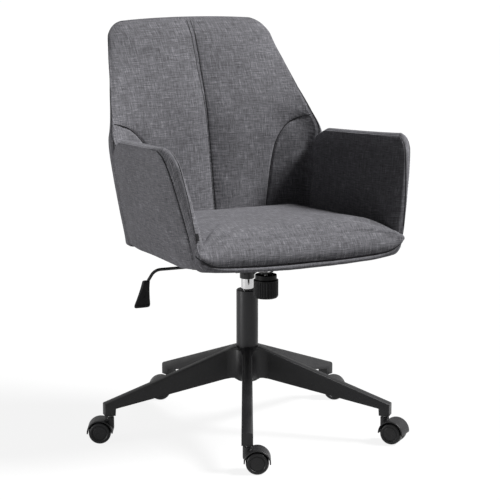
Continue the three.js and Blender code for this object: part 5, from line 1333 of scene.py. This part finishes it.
COLUMN_DETAIL = 96
TUBE_LOW, TUBE_HIGH = heights_mm("column_tube")
TUBE_RADIUS, TUBE_BORE = 25.0, 23.0
HUB_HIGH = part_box("star_base")[1].z / MM


def make_column():
    """The tapered tube in the hub, its bush and the chrome cylinder."""
    cone = [(4.5, TUBE_LOW), (23.6, TUBE_LOW), (24.7, HUB_HIGH), (TUBE_RADIUS, HUB_HIGH + 6)]
    mouth = [(TUBE_RADIUS, TUBE_HIGH), (TUBE_BORE, TUBE_HIGH)]
    bore = [(TUBE_BORE, HUB_HIGH), (21.8, TUBE_LOW + 3), (4.5, TUBE_LOW + 3)]
    form = lathe(rounded_outline(cone + mouth + bore, 1.2), COLUMN_DETAIL, "joined")
    part("column_sleeve", *form, PAINT, "base", "black_satin_metal", "column_tube")
    low, high = heights_mm("guide_bush")
    lip = TUBE_HIGH + 0.3
    outer = [(14.5, low), (22.7, low), (22.7, lip), (TUBE_BORE + 0.9, lip)]
    inner = [(TUBE_BORE + 0.2, high - 0.2, 0.8), (16.2, high), (14.5, high - 1.6), (14.5, low)]
    form = lathe(rounded_outline(outer + inner, 0.6), COLUMN_DETAIL, "open")
    part("column_bush", *form, NYLON, "base", "black_nylon", "guide_bush")
    low, high = heights_mm("gas_cylinder")
    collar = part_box("mechanism_housing")[0].z / MM
    outline = [(0.6, low), (14.0, low, 1.5), (14.0, collar - 2), (13.2, high, 1.0), (0.6, high)]
    form = lathe(rounded_outline(outline, 2.0), COLUMN_DETAIL)
    part("chrome_cylinder", *form, CHROME, "chassis", "chrome", "gas_cylinder")


KNOB_RIBS = 28
KNOB_RADIUS = 28.0
KNOB_RIB_DEPTH = 1.3
SPRING_COILS, SPRING_WIRE, SPRING_RADIUS = 5, 4.0, 15.0


def make_knob():
    """The ribbed tension knob, hollow for the spring, and the spring."""
    low, high = heights_mm("tension_knob")
    shoulder = high - 12
    neck = KNOB_RADIUS - 3.6
    foot = [(0.6, low + 1.2), (17.0, low + 1.2, 1.0), (18.5, low, 1.0)]
    rim = [(KNOB_RADIUS - 3.5, low, 2.0), (KNOB_RADIUS, low + 4.5, 3.0)]
    side = [(KNOB_RADIUS, shoulder, 1.0), (neck, shoulder + 1.6, 1.0), (neck, high, 1.2)]
    mouth = [(22.3, high, 1.0), (22.3, low + 29), (10.3, low + 29), (10.3, low + 12.3)]
    core = [(5.4, low + 12.3), (5.4, high - 24), (0.6, high - 24)]
    outline = rounded_outline(foot + rim + side + mouth + core, 0.6)
    fine = [outline[0]]
    for a, b in zip(outline, outline[1:]):
        count = max(1, int(np.linalg.norm(b - a) / 2.0))
        fine.extend(a + (b - a) * (k + 1) / count for k in range(count))

    def ribs(turn, radius, z):
        top = smooth_step(shoulder - 3.0, shoulder - 0.5, z)
        grip = smooth_step(low + 2.0, low + 7.0, z) * (1 - top)
        outer = smooth_step(KNOB_RADIUS - 3.4, KNOB_RADIUS - 0.6, radius)
        return -KNOB_RIB_DEPTH * grip * outer * np.abs(np.cos(turn * KNOB_RIBS / 2)) ** 5

    points, faces = lathe(np.array(fine), KNOB_RIBS * 12, wave=ribs)
    centre = (centre_of("tension_knob") - AXIS) / MM
    points += np.array([centre.x, centre.y, 0.0])
    part("tension_hand_knob", points, faces, KNOB, "tension_knob", "black_nylon", "tension_knob")
    low, high = heights_mm("tension_spring")
    turns = np.linspace(0, 2 * math.pi * SPRING_COILS, SPRING_COILS * 40)
    rise = np.linspace(low + SPRING_WIRE / 2, high - SPRING_WIRE / 2, len(turns))
    x, y = (SPRING_RADIUS * f(turns) + c for f, c in ((np.cos, centre.x), (np.sin, centre.y)))
    form = sweep(np.stack([x, y, rise], -1), SPRING_WIRE / 2, 16)
    part("coil_spring", *form, OXIDE, "chassis", "zinc_steel", "tension_spring")


LEVER_RADIUS = 3.5
LEVER_DROP_X = -257.0
# Height share, width and thickness of the grip, bottom to top.
GRIP_SECTIONS = np.array(
    [
        *((0.0, 30.0, 5.0), (0.012, 34.0, 7.0), (0.045, 36.6, 9.0), (0.12, 36.8, 9.4)),
        *((0.30, 31.0, 10.2), (0.50, 25.5, 11.2), (0.72, 20.0, 12.4), (0.90, 17.2, 12.9)),
        *((0.965, 16.6, 12.6), (0.992, 15.4, 11.4), (1.0, 12.5, 9.0)),
    ]
)


def make_lever():
    high = (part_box("lever_rod")[1] - AXIS) / MM
    grip_low, grip_high = ((v - AXIS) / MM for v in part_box("lever_paddle"))
    z = high.z - LEVER_RADIUS
    y = (grip_low.y + grip_high.y) / 2
    inner = [(high.x, 0, z), (-76, 0, z, 14), (-112, y, z, 14), (-236, y, z + 0.6, 15)]
    outer = [(LEVER_DROP_X, y, z - 31, 12), (LEVER_DROP_X - 5, y, grip_high.z - 30)]
    form = sweep(bent(inner + outer, 9), LEVER_RADIUS, 24)
    part("lever_bar", *form, PAINT, "lever", "black_paint", "lever_rod")
    make_grip(grip_low.z, grip_high.z, y)


def make_grip(low, high, y):
    """Flared grip with a shallow thumb slot and a step above its lower lip."""
    length = high - low
    spans = ((0, 0.06, 12), (0.07, 0.93, 60), (0.94, 1, 12))
    at = np.concatenate([np.linspace(*span) for span in spans])
    shares, *sizes = GRIP_SECTIONS.T
    width, thick = (np.interp(at, shares, size)[:, None] for size in sizes)
    turns = np.linspace(0, 2 * math.pi, 96, endpoint=False)[None]

    def squared(v, power):
        return np.sign(v) * np.abs(v) ** power

    x = width / 2 * squared(np.cos(turns), 0.55)
    dy = thick / 2 * squared(np.sin(turns), 0.72)
    share = np.broadcast_to(at[:, None], x.shape)
    slot = smooth_step(1.25, 0.85, np.hypot(x / 2.6, ((share - 0.56) * length / 9.5) ** 2))
    step = np.exp(-(((share - 0.115 - 0.00008 * x**2) * length) ** 2))
    dy = dy + smooth_step(0, 2, -dy) * (1.5 * slot + 0.8 * step)
    centre = LEVER_DROP_X + 1.0 - 11.0 * (1 - at)[:, None]
    form = tube(np.stack([centre + x, y + dy, low + share * length], -1))
    part("lever_grip", *form, KNOB, "lever", "black_nylon", "lever_paddle")


CASTER_HEADINGS = (-25, -50, -25, 155, 155)  # degrees
CASTER_DETAIL = 48
WHEEL_RADIUS = 25.0
WHEEL_NEAR, WHEEL_FAR = 4.6, 24.6
CASTER_TRAIL = 21.5
HOOD_INNER, HOOD_OUTER = 26.6, 29.4
HOOD_HALF = 24.0
HOOD_HIGH = 58.0
HOOD_VOXEL = 0.55 * MM
STEM_OUTLINE = (
    *((0.6, 33.0), (4.0, 33.0), (4.0, 60.0), (7.0, 60.0, 0.6), (7.0, 61.7, 0.4)),
    *((5.5, 61.7), (5.5, 85.7), (0.6, 85.7)),
)
# Depth inside the wheel's rim, distance along its axle from its outer face, and corner radius.
WHEEL_FACE = (
    *((0, 4.5, 3.0), (3.2, 0.4, 2.2), (7.2, 0, 1.2)),
    *((8.6, 1.9, 0.8), (9.8, 1.9, 0.6), (10.4, 1.1, 0.6)),
)
OFF_SIDE = 8.0  # distance in plan from a CAD wheel at which the drawn one is on the wrong side


def wheel_form():
    rim = ((WHEEL_RADIUS - 1, WHEEL_NEAR, 1.0), (WHEEL_RADIUS, WHEEL_NEAR + 1.2, 1.0))
    tread = [(3.5, WHEEL_NEAR), *rim]
    face = [(WHEEL_RADIUS - a, WHEEL_FAR - b, corner) for a, b, corner in WHEEL_FACE]
    hub = [(9.0, WHEEL_FAR - 0.9, 4.0), (0.6, WHEEL_FAR - 1.5)]
    return lathe(rounded_outline(tread + face + hub, 0.8, 6), 96)


def arc_band(inner, outer, half, start, end, count):
    """A bar that follows an arc about the wheel axis, with rounded edges across its width."""
    corners = [(inner, half, 0.7), (outer, half, 1.8), (outer, -half, 1.8), (inner, -half, 0.7)]
    reach, y = rounded_outline([(inner, 0), *corners, (inner, 0)], 1.0, 4)[:-1].T
    turns = np.radians(np.linspace(start, end, count))
    rings = []
    for t in turns:
        x, z = CASTER_TRAIL + reach * math.cos(t), WHEEL_RADIUS + reach * math.sin(t)
        rings.append(np.column_stack([x, y, z]))
    return tube(rings)


def hood_mesh():
    """Fender, web and boss grown together, with soft inner corners."""
    foot = [(4.4, 29.0), (9.0, 29.0, 2.0), (10.0, 33.0)]
    outline = [*foot, (10.0, HOOD_HIGH, 1.6), (4.4, HOOD_HIGH)]
    boss = lathe(rounded_outline(outline, 1.5, 4), CASTER_DETAIL, "joined")
    fender = arc_band(HOOD_INNER, HOOD_OUTER, HOOD_HALF, -4, 181, 84)
    web = arc_band(3.4, HOOD_INNER + 1, 3.9, 8, 122, 40)
    points, faces = merged([boss, fender, web])
    piece = mesh_object("hood_form", points * MM, faces, NYLON)
    remesh = piece.modifiers.new("grow", "REMESH")
    remesh.mode = "VOXEL"
    remesh.voxel_size = HOOD_VOXEL
    relax = piece.modifiers.new("relax", "SMOOTH")
    relax.iterations = 4
    relax.factor = 0.5
    piece.modifiers.new("thin", "DECIMATE").ratio = 0.35
    mesh = applied_mesh(piece)
    bpy.data.objects.remove(piece)
    return mesh


def make_casters():
    hood = hood_mesh()
    wheel_points, wheel_faces = wheel_form()
    stem_points, stem_faces = lathe(rounded_outline(STEM_OUTLINE, 0.5), CASTER_DETAIL)
    for number, heading in enumerate(CASTER_HEADINGS, 1):
        name = f"caster_{number}"
        stem = (centre_of(name + "_stem") - AXIS) / MM
        turn = np.array(Matrix.Rotation(math.radians(heading), 3, "Z"))
        move = np.array([stem.x, stem.y, 0.0])
        x, y, z = wheel_points.T
        for side, word in ((1, "left"), (-1, "right")):
            node, wheel = f"{name}_wheel_{word}", f"{name}_{word}"
            shown = (centre_of(node) - AXIS) / MM
            local = np.stack([CASTER_TRAIL + x, side * z, WHEEL_RADIUS + y], -1)
            place = local @ turn.T + move
            if np.linalg.norm(place.mean(0)[:2] - np.array(shown)[:2]) > OFF_SIDE:
                local[:, 1] *= -1
                place = local @ turn.T + move
            part(f"{wheel}_tyre", place, wheel_faces, WHEEL, f"{wheel}_wheel", "wheel_nylon", node)
        piece = new_object(f"{name}_fork_hood", hood.copy())
        spot = points_of(piece.data) @ turn.T + move * MM + ORIGIN
        piece.data.vertices.foreach_set("co", spot.ravel())
        finish_part(piece, f"{name}_fork", "black_nylon", f"{name}_hood")
        place = stem_points + move
        part(f"{name}_swivel_stem", place, stem_faces, ZINC, "base", "zinc_steel", f"{name}_stem")


make_world()
make_camera()
make_floor()
make_lights()
make_back()
make_arm("right_arm_cover", 1, "right_arm_pad", 20)
make_tab(make_arm("left_arm_cover", -1, "left_arm_pad", 30))
make_cushion()
make_front_strip()
make_column()
make_knob()
make_lever()
make_casters()
dressed("five_arm_base", "star_base", 0.9 * MM)
dressed("rocking_housing", "mechanism_housing", 0.7 * MM)
dressed("rocking_bracket", "seat_bracket", 0.5 * MM)
for node, slot in SLOTS.items():
    dress(frame["nodes"][node].data, slot)
